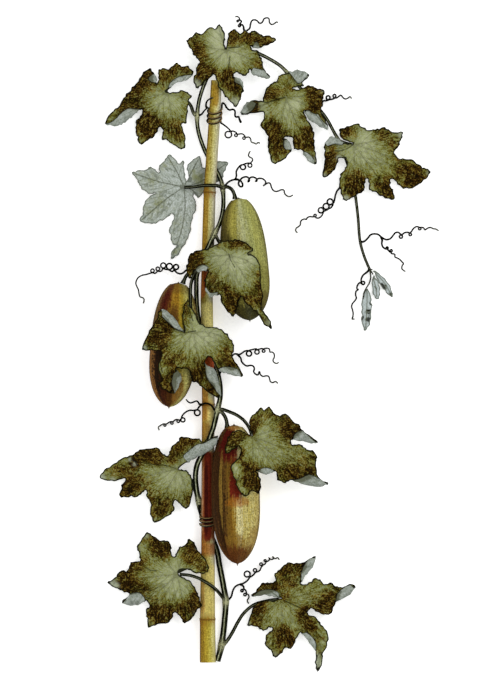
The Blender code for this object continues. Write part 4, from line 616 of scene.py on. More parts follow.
                 (256, 480, 8, .65), (247, 480, 6, .45), (255, 488, 5, .4), (299, 474, 7, .75),
                 (289, 471, 7, .5), (309, 472, 6, .45), (282, 474, 5, .35), (240, 453, 5, .5),
                 (313, 456, 6, .2), (244, 462, 5, .25)],
        "pale": [(270, 445, 14, .4), (262, 431, 7, .35), (268, 458, 9, .3), (285, 450, 8, .25),
                 (236, 470, 5, .5), (240, 486, 4, .4), (233, 464, 4, .3), (256, 452, 7, .2)],
        "grey": [(233, 464, 2.4, .5), (237, 478, 2.4, .5), (288, 416, 3, .3)],
        "folds": [[(227, 452.4), (232, 449.6), (237, 446.4), (240.4, 446.6)]],
    },
    "leaf_10": {
        "veins": [[(177, 573.5), (146, 577), (110, 582)], [(177, 573.5), (163, 556), (148, 535)],
                  [(177, 573.5), (183, 557), (190, 540)], [(177, 573.5), (194, 566), (206, 564)],
                  [(177, 573.5), (162, 588), (146, 596)], [(177, 573.5), (163, 598), (149, 625)],
                  [(177, 573.5), (183, 598), (186, 620)], [(177, 573.5), (190, 584), (199, 603)]],
        "dark": [(157, 545, 8, .65), (166, 548, 7, .65), (163, 555, 6, .3), (190, 549, 7, .65),
                 (189, 559, 7, .5), (199, 563, 6, .3), (126, 576, 7, .55), (124, 585, 6, .6),
                 (134, 587, 6, .6), (145, 587, 5, .45), (139, 565, 6, .4), (131, 568, 5, .35),
                 (156, 613, 9, .65), (167, 611, 7, .5), (161, 620, 5, .4), (193, 603, 7, .65),
                 (186, 612, 7, .6), (196, 592, 5, .45), (179, 606, 5, .35), (203, 568, 4, .25)],
        "pale": [(168, 583, 14, .3), (183, 590, 9, .25), (177, 573, 8, .2), (176, 558, 5, .25),
                 (143, 546, 6, .4), (150, 621, 4, .3), (150, 574, 8, .15), (180, 548, 3, .2)],
        "grey": [(110, 583, 6, 1), (117, 586, 4, .6), (146, 535, 4.5, .6), (140, 550, 4, .4),
                 (147.5, 620, 3, .5), (195, 612, 4, .35), (197, 548, 3, .4)],
        "folds": [[(120, 589), (130, 590), (140, 589.4), (151, 589.6), (158, 587)],
                  [(146, 567), (151, 569.6), (157, 570.4)], [(146, 597), (152, 598.6), (158, 598.4)]],
    },
    "leaf_11": {
        "veins": [[(281, 598), (266, 589), (254, 594)], [(281, 598), (289, 581), (300, 566)],
                  [(281, 598), (305, 594), (330, 590), (345, 588)], [(281, 598), (303, 605), (327, 610)],
                  [(281, 598), (296, 612), (312, 630), (321, 650), (317, 669)],
                  [(281, 598), (282, 622), (278, 640), (275, 655)], [(281, 598), (266, 611), (250, 623)]],
        "dark": [(267, 586, 6, .6), (286, 594, 12, .45), (292, 604, 20, .12), (284, 574, 8, .45),
                 (291, 567, 6, .35), (301, 566, 6, .5), (293, 583, 6, .3), (268, 586, 6, .8),
                 (259, 590, 6, .7), (276, 585, 4, .5), (327, 605, 7, .8), (334, 596, 6, .5),
                 (318, 607, 5, .35), (257, 610, 8, .45), (263, 603, 6, .4), (258, 621, 6, .3),
                 (284, 631, 7, .55), (290, 639, 6, .5), (279, 640, 7, .3), (303, 616, 6, .75),
                 (311, 624, 6, .6), (317, 635, 5, .35), (305, 608, 4, .4), (336, 588, 5, .3),
                 (303, 627, 4, .3)],
        "pale": [(300, 631, 8, .35), (326, 631, 9, .35), (313, 619, 7, .35), (284, 611, 10, .35),
                 (299, 598, 8, .3), (290, 590, 7, .25), (294, 621, 6, .3), (318, 661, 6, .6),
                 (322, 645, 6, .3), (313, 590, 7, .15), (272, 627, 4, .3)],
        "grey": [(317, 664, 8, .75), (275, 654, 4, .5), (249, 624, 3, .6), (268, 645, 3, .4),
                 (325, 640, 3.5, .35), (316, 654, 5, .4)],
        "folds": [[(284, 600), (292, 603.4), (303, 608.6)], [(296, 630), (302, 629.6), (308, 633)],
                  [(322, 652), (318.6, 652.6), (316.6, 658)]],
    },
    "young_leaf_1": {
        "veins": [[(367, 290), (366.8, 308), (365.6, 328)]],
        "dark": [(368.5, 311.6, 2.2, 1.5), (371, 303, 2, 1.5), (368.4, 319.4, 2, 1.5), (366, 297, 3, .3),
                 (362, 318, 1.6, 1.2)],
        "folds": [[(366, 311.6), (368.6, 312.4), (370.6, 311)]],
    },
    "young_leaf_2": {
        "veins": [[(372.6, 277.4), (375.6, 287), (377, 297)]],
        "dark": [(375, 277, 2, 1.4), (376.6, 288, 1.4, 1)],
        "folds": [[(374.4, 286.4), (376.8, 289.8)]],
    },
    "young_leaf_3": {
        "veins": [[(373.6, 271.8), (381, 279), (387, 287), (391.4, 296)]],
        "dark": [(380.6, 284.6, 1.9, 1.5), (384, 290, 1.6, 1.4), (390, 295.6, 2, 1.5), (385.4, 286, 1.4, 1)],
        "folds": [[(384.6, 285.6), (386.6, 288.8)]],
    },
}

# Stains on the cane, and painted light and shade: from y, to y, from and to across it (-1 to 1), shade and
# amount.
# The red rows from 262 to 298 and from 452 to 542 are painted shade below a blade and beside the
# lower gourd. The pale row down the left edge from 452 to 536 is a painted highlight. The rows from
# 302 to 344, 350 to 374 and 566 to 616 are made lighter, painted light where the blades shade the cane.
CANE_STAINS_LIGHT_AND_SHADE = [(84, 108, -0.6, 0.6, (148, 114, 26), 0.85), (186, 250, -1.2, -0.1, (138, 104, 26), 0.75),
               (262, 298, -1.2, -0.2, (166, 92, 38), 0.85), (266, 290, -0.6, 0.3, (112, 40, 18), 0.85),
               (302, 344, -1.2, 1.2, (206, 194, 116), 0.9), (350, 374, -0.4, 1.2, (176, 72, 30), 0.95),
               (386, 420, -1.2, 0, (160, 112, 44), 0.8), (400, 440, -0.1, 0.8, (196, 178, 100), 0.75),
               (422, 438, -1, 0.3, (140, 96, 34), 0.7), (452, 540, -1.2, 1.2, (132, 70, 34), 0.95),
               (452, 542, -0.55, 0.5, (92, 22, 14), 0.9), (462, 536, -0.5, 0, (48, 10, 8), 0.8),
               (452, 536, -1.3, -0.8, (186, 148, 110), 0.6), (542, 554, -1.2, 1.2, (146, 84, 34), 0.8),
               (566, 616, -1.2, 1.2, (190, 174, 100), 0.7), (578, 612, -1.2, -0.4, (150, 104, 38), 0.6)]

# The stripes of each gourd from its left side to its right, darker to the left partly as painted shade, as
# if lit from the right, and its patches
GOURD_STRIPES_AND_SHADE = {
    "fruit_upper": [(0, (60, 56, 24)), (0.08, (88, 80, 34)), (0.18, (116, 106, 46)), (0.27, (150, 142, 66)),
                    (0.35, (134, 128, 58)), (0.42, (156, 154, 98)), (0.5, (162, 164, 118)),
                    (0.58, (158, 160, 112)), (0.65, (140, 142, 82)), (0.72, (158, 160, 96)),
                    (0.8, (142, 142, 74)), (0.9, (150, 150, 84)), (1, (98, 96, 44))],
    "fruit_left": [(0, (60, 40, 20)), (0.06, (110, 86, 44)), (0.12, (66, 34, 16)), (0.21, (60, 26, 13)),
                   (0.29, (106, 68, 25)), (0.39, (144, 112, 34)), (0.48, (128, 92, 22)),
                   (0.56, (152, 122, 40)), (0.64, (144, 126, 34)), (0.76, (166, 158, 82)),
                   (0.88, (172, 166, 98)), (1, (96, 76, 30))],
    "fruit_lower": [(0, (112, 76, 34)), (0.04, (84, 54, 24)), (0.09, (58, 38, 16)), (0.15, (38, 24, 10)),
                    (0.22, (46, 29, 11)), (0.28, (86, 60, 24)), (0.35, (112, 84, 28)),
                    (0.42, (108, 76, 22)), (0.48, (146, 118, 44)), (0.54, (190, 178, 116)),
                    (0.6, (204, 196, 146)), (0.66, (160, 142, 62)), (0.72, (196, 186, 122)),
                    (0.78, (160, 142, 62)), (0.84, (196, 186, 122)), (0.9, (156, 138, 66)),
                    (0.95, (184, 170, 108)), (1, (120, 102, 46))],
}
# Most patches are painted shade: each gourd darker down its left side and towards its lower end, a shaded
# band across the upper gourd, and the upper gourd nearly black at its tip, where a blade's lobe lies in
# shade.
GOURD_PATCHES_AND_SHADE = {
    "fruit_upper": [(-0.8, 0.42, 0.36, 0.2, (50, 42, 16), 0.6),
                    (-0.25, 0.45, 0.55, 0.08, (72, 62, 24), 0.5),
                    (0.5, 0.74, 0.9, 0.2, (108, 102, 42), 0.5), (0.7, 0.86, 0.4, 0.1, (74, 60, 22), 0.7),
                    (0, 1, 1.2, 0.15, (38, 36, 18), 0.9)],
    "fruit_left": [(-0.6, 0.16, 0.26, 0.16, (68, 20, 12), 0.75), (0, 0.03, 1, 0.06, (84, 58, 26), 0.5),
                   (-0.1, 0.34, 0.26, 0.14, (74, 46, 20), 0.8),
                   (-0.88, 0.72, 0.14, 0.3, (140, 92, 40), 0.5), (-0.5, 0.68, 0.36, 0.3, (28, 18, 8), 0.95),
                   (-0.1, 0.93, 0.6, 0.1, (58, 26, 12), 0.9), (0.45, 0.87, 0.3, 0.1, (118, 84, 34), 0.85),
                   (0.3, 0.78, 0.3, 0.08, (96, 70, 26), 0.8)],
    "fruit_lower": [(-0.95, 0.4, 0.2, 0.36, (46, 26, 10), 0.7), (-0.3, 0.14, 0.5, 0.13, (76, 18, 12), 1),
                    (0.04, 0.4, 0.3, 0.16, (102, 32, 18), 1),
                    (-0.62, 0.46, 0.07, 0.26, (146, 116, 48), 0.55),
                    (0.08, 0.55, 0.5, 0.035, (146, 88, 26), 0.6),
                    (-0.1, 0.01, 0.9, 0.035, (150, 104, 44), 0.85),
                    (-0.5, 0.88, 0.4, 0.1, (52, 30, 12), 0.85),
                    (-0.05, 0.86, 0.55, 0.09, (122, 92, 32), 0.8),
                    (0.75, 0.84, 0.25, 0.12, (134, 104, 48), 0.6),
                    (0.1, 1.02, 1.5, 0.15, (84, 46, 18), 0.95)],
}

# The mesh of a blade, in drawing units
EDGE_STEPS = 4
BLADE_CELL = 2.3
ROW_HEIGHT = 0.87
CELL_WOBBLE = 0.15
EDGE_GAP = 0.45
LINE_GAP = 0.4
LINE_INSET = 0.8
VEIN_SPACING = 2.0
FOLD_SPACING = 1.6
FAR_AWAY = 99.0

# Its uneven margin, and its hills and hollows in millimetres
TOOTH = 0.25
RUFFLE = 0.3
RUFFLES = (4.1, 6.7, 9.3)
REST_SOFTNESS = 36.0
LOWEST_BLADE = BLADE * 0.8
VEIN_QUILT = 0.4
TWIG_QUILT = 0.2
QUILT_DROP = 0.5
WAVE = 0.35

# Its tone, from 0 for pale to 1 for dark
BASE_TONE = 0.34
LOBE_TONE = 0.2
LOBE_REACH = (8, 36)
MARGIN_TONE = 0.05
DARK_STRENGTH = 0.74
PALE_STRENGTH = 0.45
TONE_LIMITS = (0.14, 0.86)

# Its side veins
SIDE_VEIN_SPACING = 7.5
SIDE_VEIN_ANGLE = 44.0
SIDE_VEIN_STEP = 1.8
SIDE_VEIN_STEPS = 12
SIDE_VEIN_MARGIN = 2.0
SIDE_VEIN_SHARE = 0.8
SIDE_VEIN_BEND = 0.05

# Its rolled margins: stops round the turn, then stops over the flap beyond it
CURL_TURNS = (0.12, 0.25, 0.4, 0.55, 0.7, 0.85, 1.0)
FLAP_STOPS = (0.35, 0.7, 1.0)
CURL_SHARE = 0.7
CURL_BULGE = 0.4
CURL_END_SLOPE = 2.6
SHORTEST_CURL = 0.4
CURL_MARGIN = 0.3
FLAP_START = 0.3

# The cane's joints in drawing units across a joint and metres out, and its cut ends
CANE_SIDES = 48
CANE_SPACING = 2.0
JOINT_SPACING = 0.3
JOINT_STATIONS = 14
JOINT_LIP = 0.0003
LIP_AT = 0.9
LIP_WIDTH = 0.45
JOINT_GROOVE = 0.0004
GROOVE_AT = 0.2
GROOVE_WIDTH = 0.35
CUT_WALL = 0.28
CUT_DEPTH = 0.006
SHARP_ANGLE = 50

# The gourds
CROWN_POWER = 2.9
BODY_END = 0.965
BODY_POWERS = (2.5, 0.56)
BEAK = 0.17
BEAK_FROM = 0.7
BEAK_RISE = 0.26
DIMPLE = 0.0012
DIMPLE_REACH = 0.03
RIB = 0.006
RIBS = 10

# Stems and tendrils, in metres except for the lowest wire, which is in millimetres
STEM_SIDES = 14
STEM_SPACING = 0.0018
PETIOLE_SPACING = 0.0015
YOUNG_PETIOLE_SPACING = 0.001
STALK_SPACING = 0.0012
KNOT_REACH = 0.004
KNOT_SWELL = 0.0005
STALK_FLARE = 0.0004
CROWN_FLARE = 0.0009
CROWN_FLARE_LENGTH = 0.0022
TENDRIL_SIDES = 7
TENDRIL_SPACING = 0.0008
TENDRIL_START = 0.0009
TENDRIL_END = 0.00064
TENDRIL_FLARE = 0.0003
LOWEST_WIRE = 0.7
RING_RADIUS = 0.00098
RING_GAP = 0.0001
RING_FADE = 8
WRAP_STEPS = 40

# Looks, lights and the camera
GRAIN_SCALE = 900.0
SHEEN = 0.02
WORLD_LIGHT = 0.72
KEY_LIGHT = 26.0
FILL_LIGHT = 12.0
FLOOR_SIZE = 12.0
FLOOR_GLOW = 0.4
SHEET_HEIGHT = 700.0
SENSOR = 36.0
CAMERA_HEIGHT = 5.0


# Places and curves

def place(x, y, height=0.0):
    """A point on the sheet, at a height in millimetres, in metres."""
    return Vector(((x - ORIGIN[0]) * UNIT, (ORIGIN[1] - y) * UNIT, height * MM))


def spline(points, position):
    """The point at a position such as 2.4 on a smooth curve through points."""
    last = len(points) - 1
    span = min(int(position), last - 1)
    t = position - span
    b, c = points[span], points[span + 1]
    a = points[span - 1] if span else b * 2 - c
    d = points[span + 2] if span + 2 <= last else c * 2 - b
    return (b * 2 + (c - a) * t + (a * 2 - b * 5 + c * 4 - d) * t**2
            + (b * 3 - a - c * 3 + d) * t**3) / 2


def smooth(points, spacing):
    """A curve through points, sampled about every spacing."""
    path = [points[0]]
    for span in range(len(points) - 1):
        steps = max(1, round((points[span + 1] - points[span]).length / spacing))
        path += [spline(points, span + step / steps) for step in range(1, steps + 1)]
    return path


def closed_curve(points, steps):
    count = len(points)
    ring = []
    for n in range(count):
        around = [Vector(points[(n + k) % count]) for k in (-1, 0, 1, 2)]
        ring += [spline(around, 1 + step / steps) for step in range(steps)]
    return ring


def distances(points, lines):
    """How far the nearest of the lines is from each point."""
    points = np.array(points, dtype=float)
    best = np.full(len(points), FAR_AWAY)
    for line in lines:
        line = np.array(line, dtype=float)
        along = line[1:] - line[:-1]
        offset = points[:, None] - line[:-1]
        share = np.clip((offset * along).sum(2) / (along**2).sum(1), 0, 1)
        gap = np.linalg.norm(offset - along * share[..., None], axis=2).min(1)
        best = np.minimum(best, gap)
    return best


def inside(points, ring):
    """Which of the points lie within the ring."""
    points = np.array(points, dtype=float)
    a = np.array(ring, dtype=float)
    b = np.roll(a, -1, axis=0)
    x, y = points[:, :1], points[:, 1:]
    rise = np.where(b[:, 1] == a[:, 1], 1e-9, b[:, 1] - a[:, 1])
    spans = (a[:, 1] > y) != (b[:, 1] > y)
    left = x < a[:, 0] + (y - a[:, 1]) / rise * (b[:, 0] - a[:, 0])
    return (spans & left).sum(1) % 2 == 1


def soft_step(low, high, value):
    t = np.clip((value - low) / (high - low), 0, 1)
    return t * t * (3 - 2 * t)


def soft_spots(points, spots):
    """The sum of soft round spots x, y, radius, strength at each point."""
    points = np.array(points, dtype=float)
    total = np.zeros(len(points))
    for x, y, radius, strength in spots:
        off = (points[:, 0] - x) ** 2 + (points[:, 1] - y) ** 2
        total += strength * np.exp(-off / radius**2)
    return total


# Meshes

def new_piece(name, bm, paints):
    """A smooth-shaded object from a finished mesh."""
    mesh = bpy.data.meshes.new(name)
    bm.to_mesh(mesh)
    bm.free()
    piece = bpy.data.objects.new(name, mesh)
    bpy.context.collection.objects.link(piece)
    for paint in paints:
        mesh.materials.append(paint)
    mesh.shade_smooth()
    return piece


def apply_modifiers(piece):
    bpy.context.view_layer.objects.active = piece
    for modifier in list(piece.modifiers):
        bpy.ops.object.modifier_apply(modifier=modifier.name)


def sweep(bm, path, radii, sides, marks, paint=0):
    """A closed tube along path. Each mark is an attribute's name and its value at every station.
    "across" and "upward" tell where round the tube a point is, seen from above."""
    layers = {name: bm.verts.layers.float.get(name) or bm.verts.layers.float.new(name)
              for name in [*marks, "across", "upward"]}
    rings = []
    side = None
    for n, centre in enumerate(path):
        ahead = (path[min(n + 1, len(path) - 1)] - path[max(n - 1, 0)]).normalized()
        if side is None:
            side = ahead.cross(Vector((0, 0, 1)))
            if side.length < 0.2:
                side = Vector((1, 0, 0))
            if side.x < -0.3:
                side = -side
        side = (side - ahead * side.dot(ahead)).normalized()
        level = ahead.cross(Vector((0, 0, 1)))
        if level.length > 0.35:
            level = level.normalized() * (1 if level.dot(side) > 0 else -1)
            side = (side * 0.6 + level * 0.4).normalized()
        up = side.cross(ahead)
        if n == 0 and up.z < 0:
            up = -up
        up = up if up.dot(rings[-1][2] if rings else up) >= 0 else -up
        ring = []
        for k in range(sides):
            turn = 2 * math.pi * k / sides
            offset = side * math.cos(turn) + up * math.sin(turn)
            vert = bm.verts.new(centre + offset * radii[n])
            vert[layers["across"]] = offset.x if abs(ahead.y) > abs(ahead.x) else offset.y
            vert[layers["upward"]] = offset.z
            for name, values in marks.items():
                vert[layers[name]] = values[n]
            ring.append(vert)
        rings.append((ring, centre, up))
    faces = []
    for (ring, _, _), (after, _, _) in zip(rings, rings[1:]):
        for k in range(sides):
            m = (k + 1) % sides
            faces.append(bm.faces.new((ring[k], ring[m], after[m], after[k])))
    for ring, centre, _ in (rings[0], rings[-1]):
        middle = bm.verts.new(centre)
        for name in marks:
            middle[layers[name]] = ring[0][layers[name]]
        for k in range(sides):
            faces.append(bm.faces.new((ring[k], ring[(k + 1) % sides], middle)))
    for face in faces:
        face.material_index = paint
    bmesh.ops.recalc_face_normals(bm, faces=faces)


# Blades

def blade_height(points, rest):
    """Heights in metres at points of the sheet, from the heights given at points near them."""
    points = np.array(points, dtype=float)
    total = np.zeros(len(points))
    weight = np.zeros(len(points))
    for x, y, height in rest:
        share = 1 / ((points[:, 0] - x) ** 2 + (points[:, 1] - y) ** 2 + REST_SOFTNESS) ** 2
        total += share * height
        weight += share
    return total / weight * MM


def hills(point):
    """Gentle hills and hollows over a blade, from -1 to 1."""
    return math.sin(point.x * 0.55 + point.y * 0.21) * math.sin(point.y * 0.47 - point.x * 0.13)


def side_veins(mains, ring):
    """Side veins that leave each main vein to left and right in turn and bend towards its tip."""
    closed = ring + ring[:1]
    grown = []
    for index, main in enumerate(mains):
        others = mains[:index] + mains[index + 1:]
        travelled, due, hand = 0.0, SIDE_VEIN_SPACING, 1
        for a, b in zip(main, main[1:]):
            travelled += (b - a).length
            if travelled < due:
                continue
            due += SIDE_VEIN_SPACING / 2
            hand = -hand
            angle = math.radians(SIDE_VEIN_ANGLE) * hand
            heading = (b - a).normalized()
            heading = Vector((heading.x * math.cos(angle) - heading.y * math.sin(angle),
                              heading.x * math.sin(angle) + heading.y * math.cos(angle)))
            path = [b]
            while len(path) < SIDE_VEIN_STEPS:
                step = path[-1] + heading * SIDE_VEIN_STEP
                if not inside([step], ring)[0] or distances([step], [closed])[0] < SIDE_VEIN_MARGIN:
                    break
                if others and distances([step], others)[0] < distances([step], [main])[0] * SIDE_VEIN_SHARE:
                    break
                path.append(step)
                bend = -hand * SIDE_VEIN_BEND
                heading = Vector((heading.x - heading.y * bend, heading.y + heading.x * bend)).normalized()
            if len(path) > 2:
                grown.append(path)
    return grown


def toothed(ring, rng):
    """The outline with the small uneven teeth and ruffles of a real margin."""
    count = len(ring)
    waves = [(rng.uniform(0, 6.3), length) for length in RUFFLES]
    run, cut = 0.0, []
    for n, point in enumerate(ring):
        ahead = ring[(n + 1) % count] - ring[n - 1]
        run += (point - ring[n - 1]).length
        out = Vector((ahead.y, -ahead.x)).normalized()
        ruffle = sum(math.sin(start + run * 2 * math.pi / length) for start, length in waves)
        cut.append(point + out * (RUFFLE * ruffle + rng.uniform(-TOOTH, TOOTH)))
    return cut


def build_blade(name, paints):
    """A blade with its veins, its rolled margins and what is drawn on it."""
    spec, drawn = LEAVES[name], MARKS[name]
    rng = random.Random(name)
    ring = toothed(closed_curve(spec["edge"], EDGE_STEPS), rng)
    mains = [smooth([Vector(p) for p in line], VEIN_SPACING) for line in drawn["veins"]]
    sides = side_veins(mains, ring)
    closed = ring + ring[:1]
    low = Vector((min(p.x for p in ring), min(p.y for p in ring)))
    high = Vector((max(p.x for p in ring), max(p.y for p in ring)))
    folds = drawn.get("folds", [])
    lines = mains + sides + [smooth([Vector(p) for p in line], FOLD_SPACING) for line in folds]
    lattice = []
    for row in range(int((high.y - low.y) / BLADE_CELL / ROW_HEIGHT) + 2):
        for column in range(int((high.x - low.x) / BLADE_CELL) + 2):
            wobble = Vector([rng.uniform(-CELL_WOBBLE, CELL_WOBBLE) for axis in "xy"])
            lattice.append(low + (Vector((column + row % 2 / 2, row * ROW_HEIGHT)) + wobble) * BLADE_CELL)
    kept = inside(lattice, ring) & (distances(lattice, [closed]) > BLADE_CELL * EDGE_GAP)
    kept &= distances(lattice, lines) > BLADE_CELL * LINE_GAP
    flat = list(ring)
    wires = []
    for line in lines:
        within = inside(line, ring) & (distances(line, [closed]) > LINE_INSET)
        line = [p for p, fits in zip(line, within) if fits]
        wires += [(len(flat) + n, len(flat) + n + 1) for n in range(len(line) - 1)]
        flat += line
    flat += [p for p, fits in zip(lattice, kept) if fits]
    made = delaunay_2d_cdt(flat, wires, [list(range(len(ring)))], 1, 1e-4)
    spots = [Vector(p) for p in made[0]]
    home = {source: n for n, sources in enumerate(made[3]) for source in sources}

    bm = bmesh.new()
    layers = {key: bm.verts.layers.float.new(key)
              for key in ("margin", "tone", "grey", "vein", "twig", "fold", "reach_x", "reach_y", "flap")}
    base = Vector(spec["base"])

    def add_points(points, lift, margin, flap):
        """Vertices at points of the sheet, with everything that the finish reads."""
        vein, twig = distances(points, mains), distances(points, sides or mains)
        fold = distances(points, folds)
        far = np.array([(p - base).length for p in points])
        tone = BASE_TONE + LOBE_TONE * soft_step(*LOBE_REACH, far)
        tone += MARGIN_TONE * np.exp(-np.array(margin) / 3)
        tone += DARK_STRENGTH * soft_spots(points, drawn.get("dark", []))
        tone -= PALE_STRENGTH * soft_spots(points, drawn.get("pale", []))
        tone = np.clip(tone, *TONE_LIMITS)
        grey = soft_spots(points, drawn.get("grey", []))
        quilt = VEIN_QUILT * (1 - np.exp(-vein / 2.5)) + TWIG_QUILT * (1 - np.exp(-twig / 2.0)) - QUILT_DROP
        wave = WAVE * np.exp(-np.array(margin) / 5) * [hills(point) for point in points]
        height = blade_height(points, spec["rest"]) + (quilt + wave) * MM * (np.array(flap) == 0)
        height = np.maximum(height, LOWEST_BLADE) + np.array(lift)
        verts = []
        for n, point in enumerate(points):
            spot = place(point.x, point.y)
            spot.z = height[n]
            vert = bm.verts.new(spot)
            values = {"margin": margin[n], "tone": tone[n], "grey": grey[n], "vein": vein[n],
                      "twig": twig[n], "fold": fold[n], "reach_x": point.x - base.x,
                      "reach_y": point.y - base.y, "flap": flap[n]}
            for key, value in values.items():
                vert[layers[key]] = value
            verts.append(vert)
        return verts

    count = len(spots)
    verts = add_points(spots, [0.0] * count, distances(spots, [closed]), [0.0] * count)
    for face in made[2]:
        bm.faces.new([verts[n] for n in face])
    for first, last, over in spec["curls"]:
        roll_margin(bm, add_points, verts, home, ring, first, last, over)
    bmesh.ops.recalc_face_normals(bm, faces=bm.faces)
    upward = sum(face.normal.z * face.calc_area() for face in bm.faces)
    if upward < 0:
        bmesh.ops.reverse_faces(bm, faces=bm.faces)
    piece = new_piece(name.replace("leaf", "blade"), bm, paints)
    wall = piece.modifiers.new("wall", "SOLIDIFY")
    wall.thickness = BLADE
    wall.offset = 0
    wall.material_offset = 1
    apply_modifiers(piece)
    return piece


def roll_margin(bm, add_points, verts, home, ring, first, last, over):
    """Roll the margin between two numbered points of the edge up and over to a line."""
    count = len(ring)
    span = [(first * EDGE_STEPS + k) % count for k in range((last - first) * EDGE_STEPS + 1)]
    hinge = [ring[n] for n in span]
    far = [hinge[0]] + [Vector(p) for p in over] + [hinge[-1]]
    roll = CURL_RADIUS / UNIT
    half = math.pi * roll
    rows = len(CURL_TURNS) + len(FLAP_STOPS)
    columns = []
    for k, start in enumerate(hinge):
        end = spline(far, k / (len(hinge) - 1) * (len(far) - 1))
        reach = (end - start).length
        from_end = min((start - hinge[0]).length, (start - hinge[-1]).length)
        length = min(half + reach, CURL_END_SLOPE * from_end)
        column = [verts[home[span[k]]]]
        if min(reach, length) > SHORTEST_CURL:
            ahead = (end - start) / reach
            turned = min(half, length * CURL_SHARE)
            stops = [turned * f for f in CURL_TURNS]
            stops += [turned + (length - turned) * f for f in FLAP_STOPS]
            points, lift, margin, flap = [], [], [], []
            for stop in stops:
                turn = min(stop / roll, math.pi)
                beyond = max(0.0, stop - half)
                points.append(start + ahead * (beyond - CURL_BULGE * roll * math.sin(turn)))
                lift.append(CURL_RADIUS * (1 - math.cos(turn)))
                margin.append(min(stop, length - stop) + CURL_MARGIN)
                flap.append(FLAP_START + (1 - FLAP_START) * stop / length)
            column += add_points(points, lift, margin, flap)
        columns.append(column)
    for left, right in zip(columns, columns[1:]):
        for row in range(rows):
            corners = []
            for column, n in ((left, row), (right, row), (right, row + 1), (left, row + 1)):
                corner = column[min(n, len(column) - 1)]
                if corner not in corners:
                    corners.append(corner)
            if len(corners) > 2:
                bm.faces.new(corners)


# Cane

def cane_at(y):
    """Centre and radius of the cane, in metres, at a distance down the sheet."""
    for (y0, x0, w0), (y1, x1, w1) in zip(CANE, CANE[1:]):
        if y >= y1:
            break
    t = (y0 - y) / (y0 - y1)
    radius = (w0 + (w1 - w0) * t) / 2 * UNIT
    centre = place(x0 + (x1 - x0) * t, y)
    centre.z = CANE_LIFT + radius
    return centre, radius


def joint_shape(off):
    """How far the cane stands out, in metres, at a distance in units above or below a joint."""
    swell = JOINT_SWELL * math.exp(-((off / 1.5) ** 2)) if abs(off) < JOINT_REACH * 1.6 else 0
    lip = JOINT_LIP * math.exp(-(((off - LIP_AT) / LIP_WIDTH) ** 2))
    groove = -JOINT_GROOVE * math.exp(-(((off + GROOVE_AT) / GROOVE_WIDTH) ** 2))
    return swell * 0.8 + lip + groove


def build_cane(paint):
    """The cane, with a lip and a groove at each joint and a hollow at each cut end."""
    top, foot = CANE[-1][0], CANE[0][0]
    stations = set(np.arange(top, foot, CANE_SPACING)) | {foot}
    for joint in CANE_JOINTS:
        stations |= {joint + step * JOINT_SPACING for step in range(-JOINT_STATIONS, JOINT_STATIONS + 1)}
    path, radii, down, ring_off = [], [], [], []
    for y in sorted(stations, reverse=True):
        centre, radius = cane_at(y)
        off = min((y - joint for joint in CANE_JOINTS), key=abs)
        path.append(centre)
        radii.append(radius + joint_shape(-off))
        down.append(y)
        ring_off.append(abs(off + GROOVE_AT))
    bm = bmesh.new()
    sweep(bm, path, radii, CANE_SIDES, {"down": down, "joint": ring_off})
    bm.normal_update()
    for end in (-1, 1):
        cap = [face for face in bm.faces if face.normal.y * end > 0.9 and len(face.verts) == 3]
        bmesh.ops.inset_region(bm, faces=cap, thickness=radii[0] * CUT_WALL)
        bmesh.ops.translate(bm, verts=list({v for f in cap for v in f.verts}),
                            vec=Vector((0, -end * CUT_DEPTH, 0)))
    piece = new_piece("cane", bm, [paint])
    piece.data.set_sharp_from_angle(angle=math.radians(SHARP_ANGLE))
    return piece


# Gourds

def fruit_radius(t, crown):
    """Radius over the largest radius, at a share t of the way from the stalk to the tip."""
    if t < crown:
        return (1 - ((crown - t) / crown) ** CROWN_POWER) ** 0.5
    u = (t - crown) / (1 - crown)
    body = (1 - min(1.0, u / BODY_END) ** BODY_POWERS[0]) ** BODY_POWERS[1]
    beak = BEAK * max(0.0, 1 - u) ** 0.5 * min(1.0, max(0.0, (u - BEAK_FROM) / BEAK_RISE))
    return max(body, beak)


def fruit_axis(name):
    spec = FRUITS[name]
    top, tip = place(*spec["top"]), place(*spec["tip"])
    top.z = tip.z = spec["radius"] * UNIT - FRUIT_SINK
    return top, tip


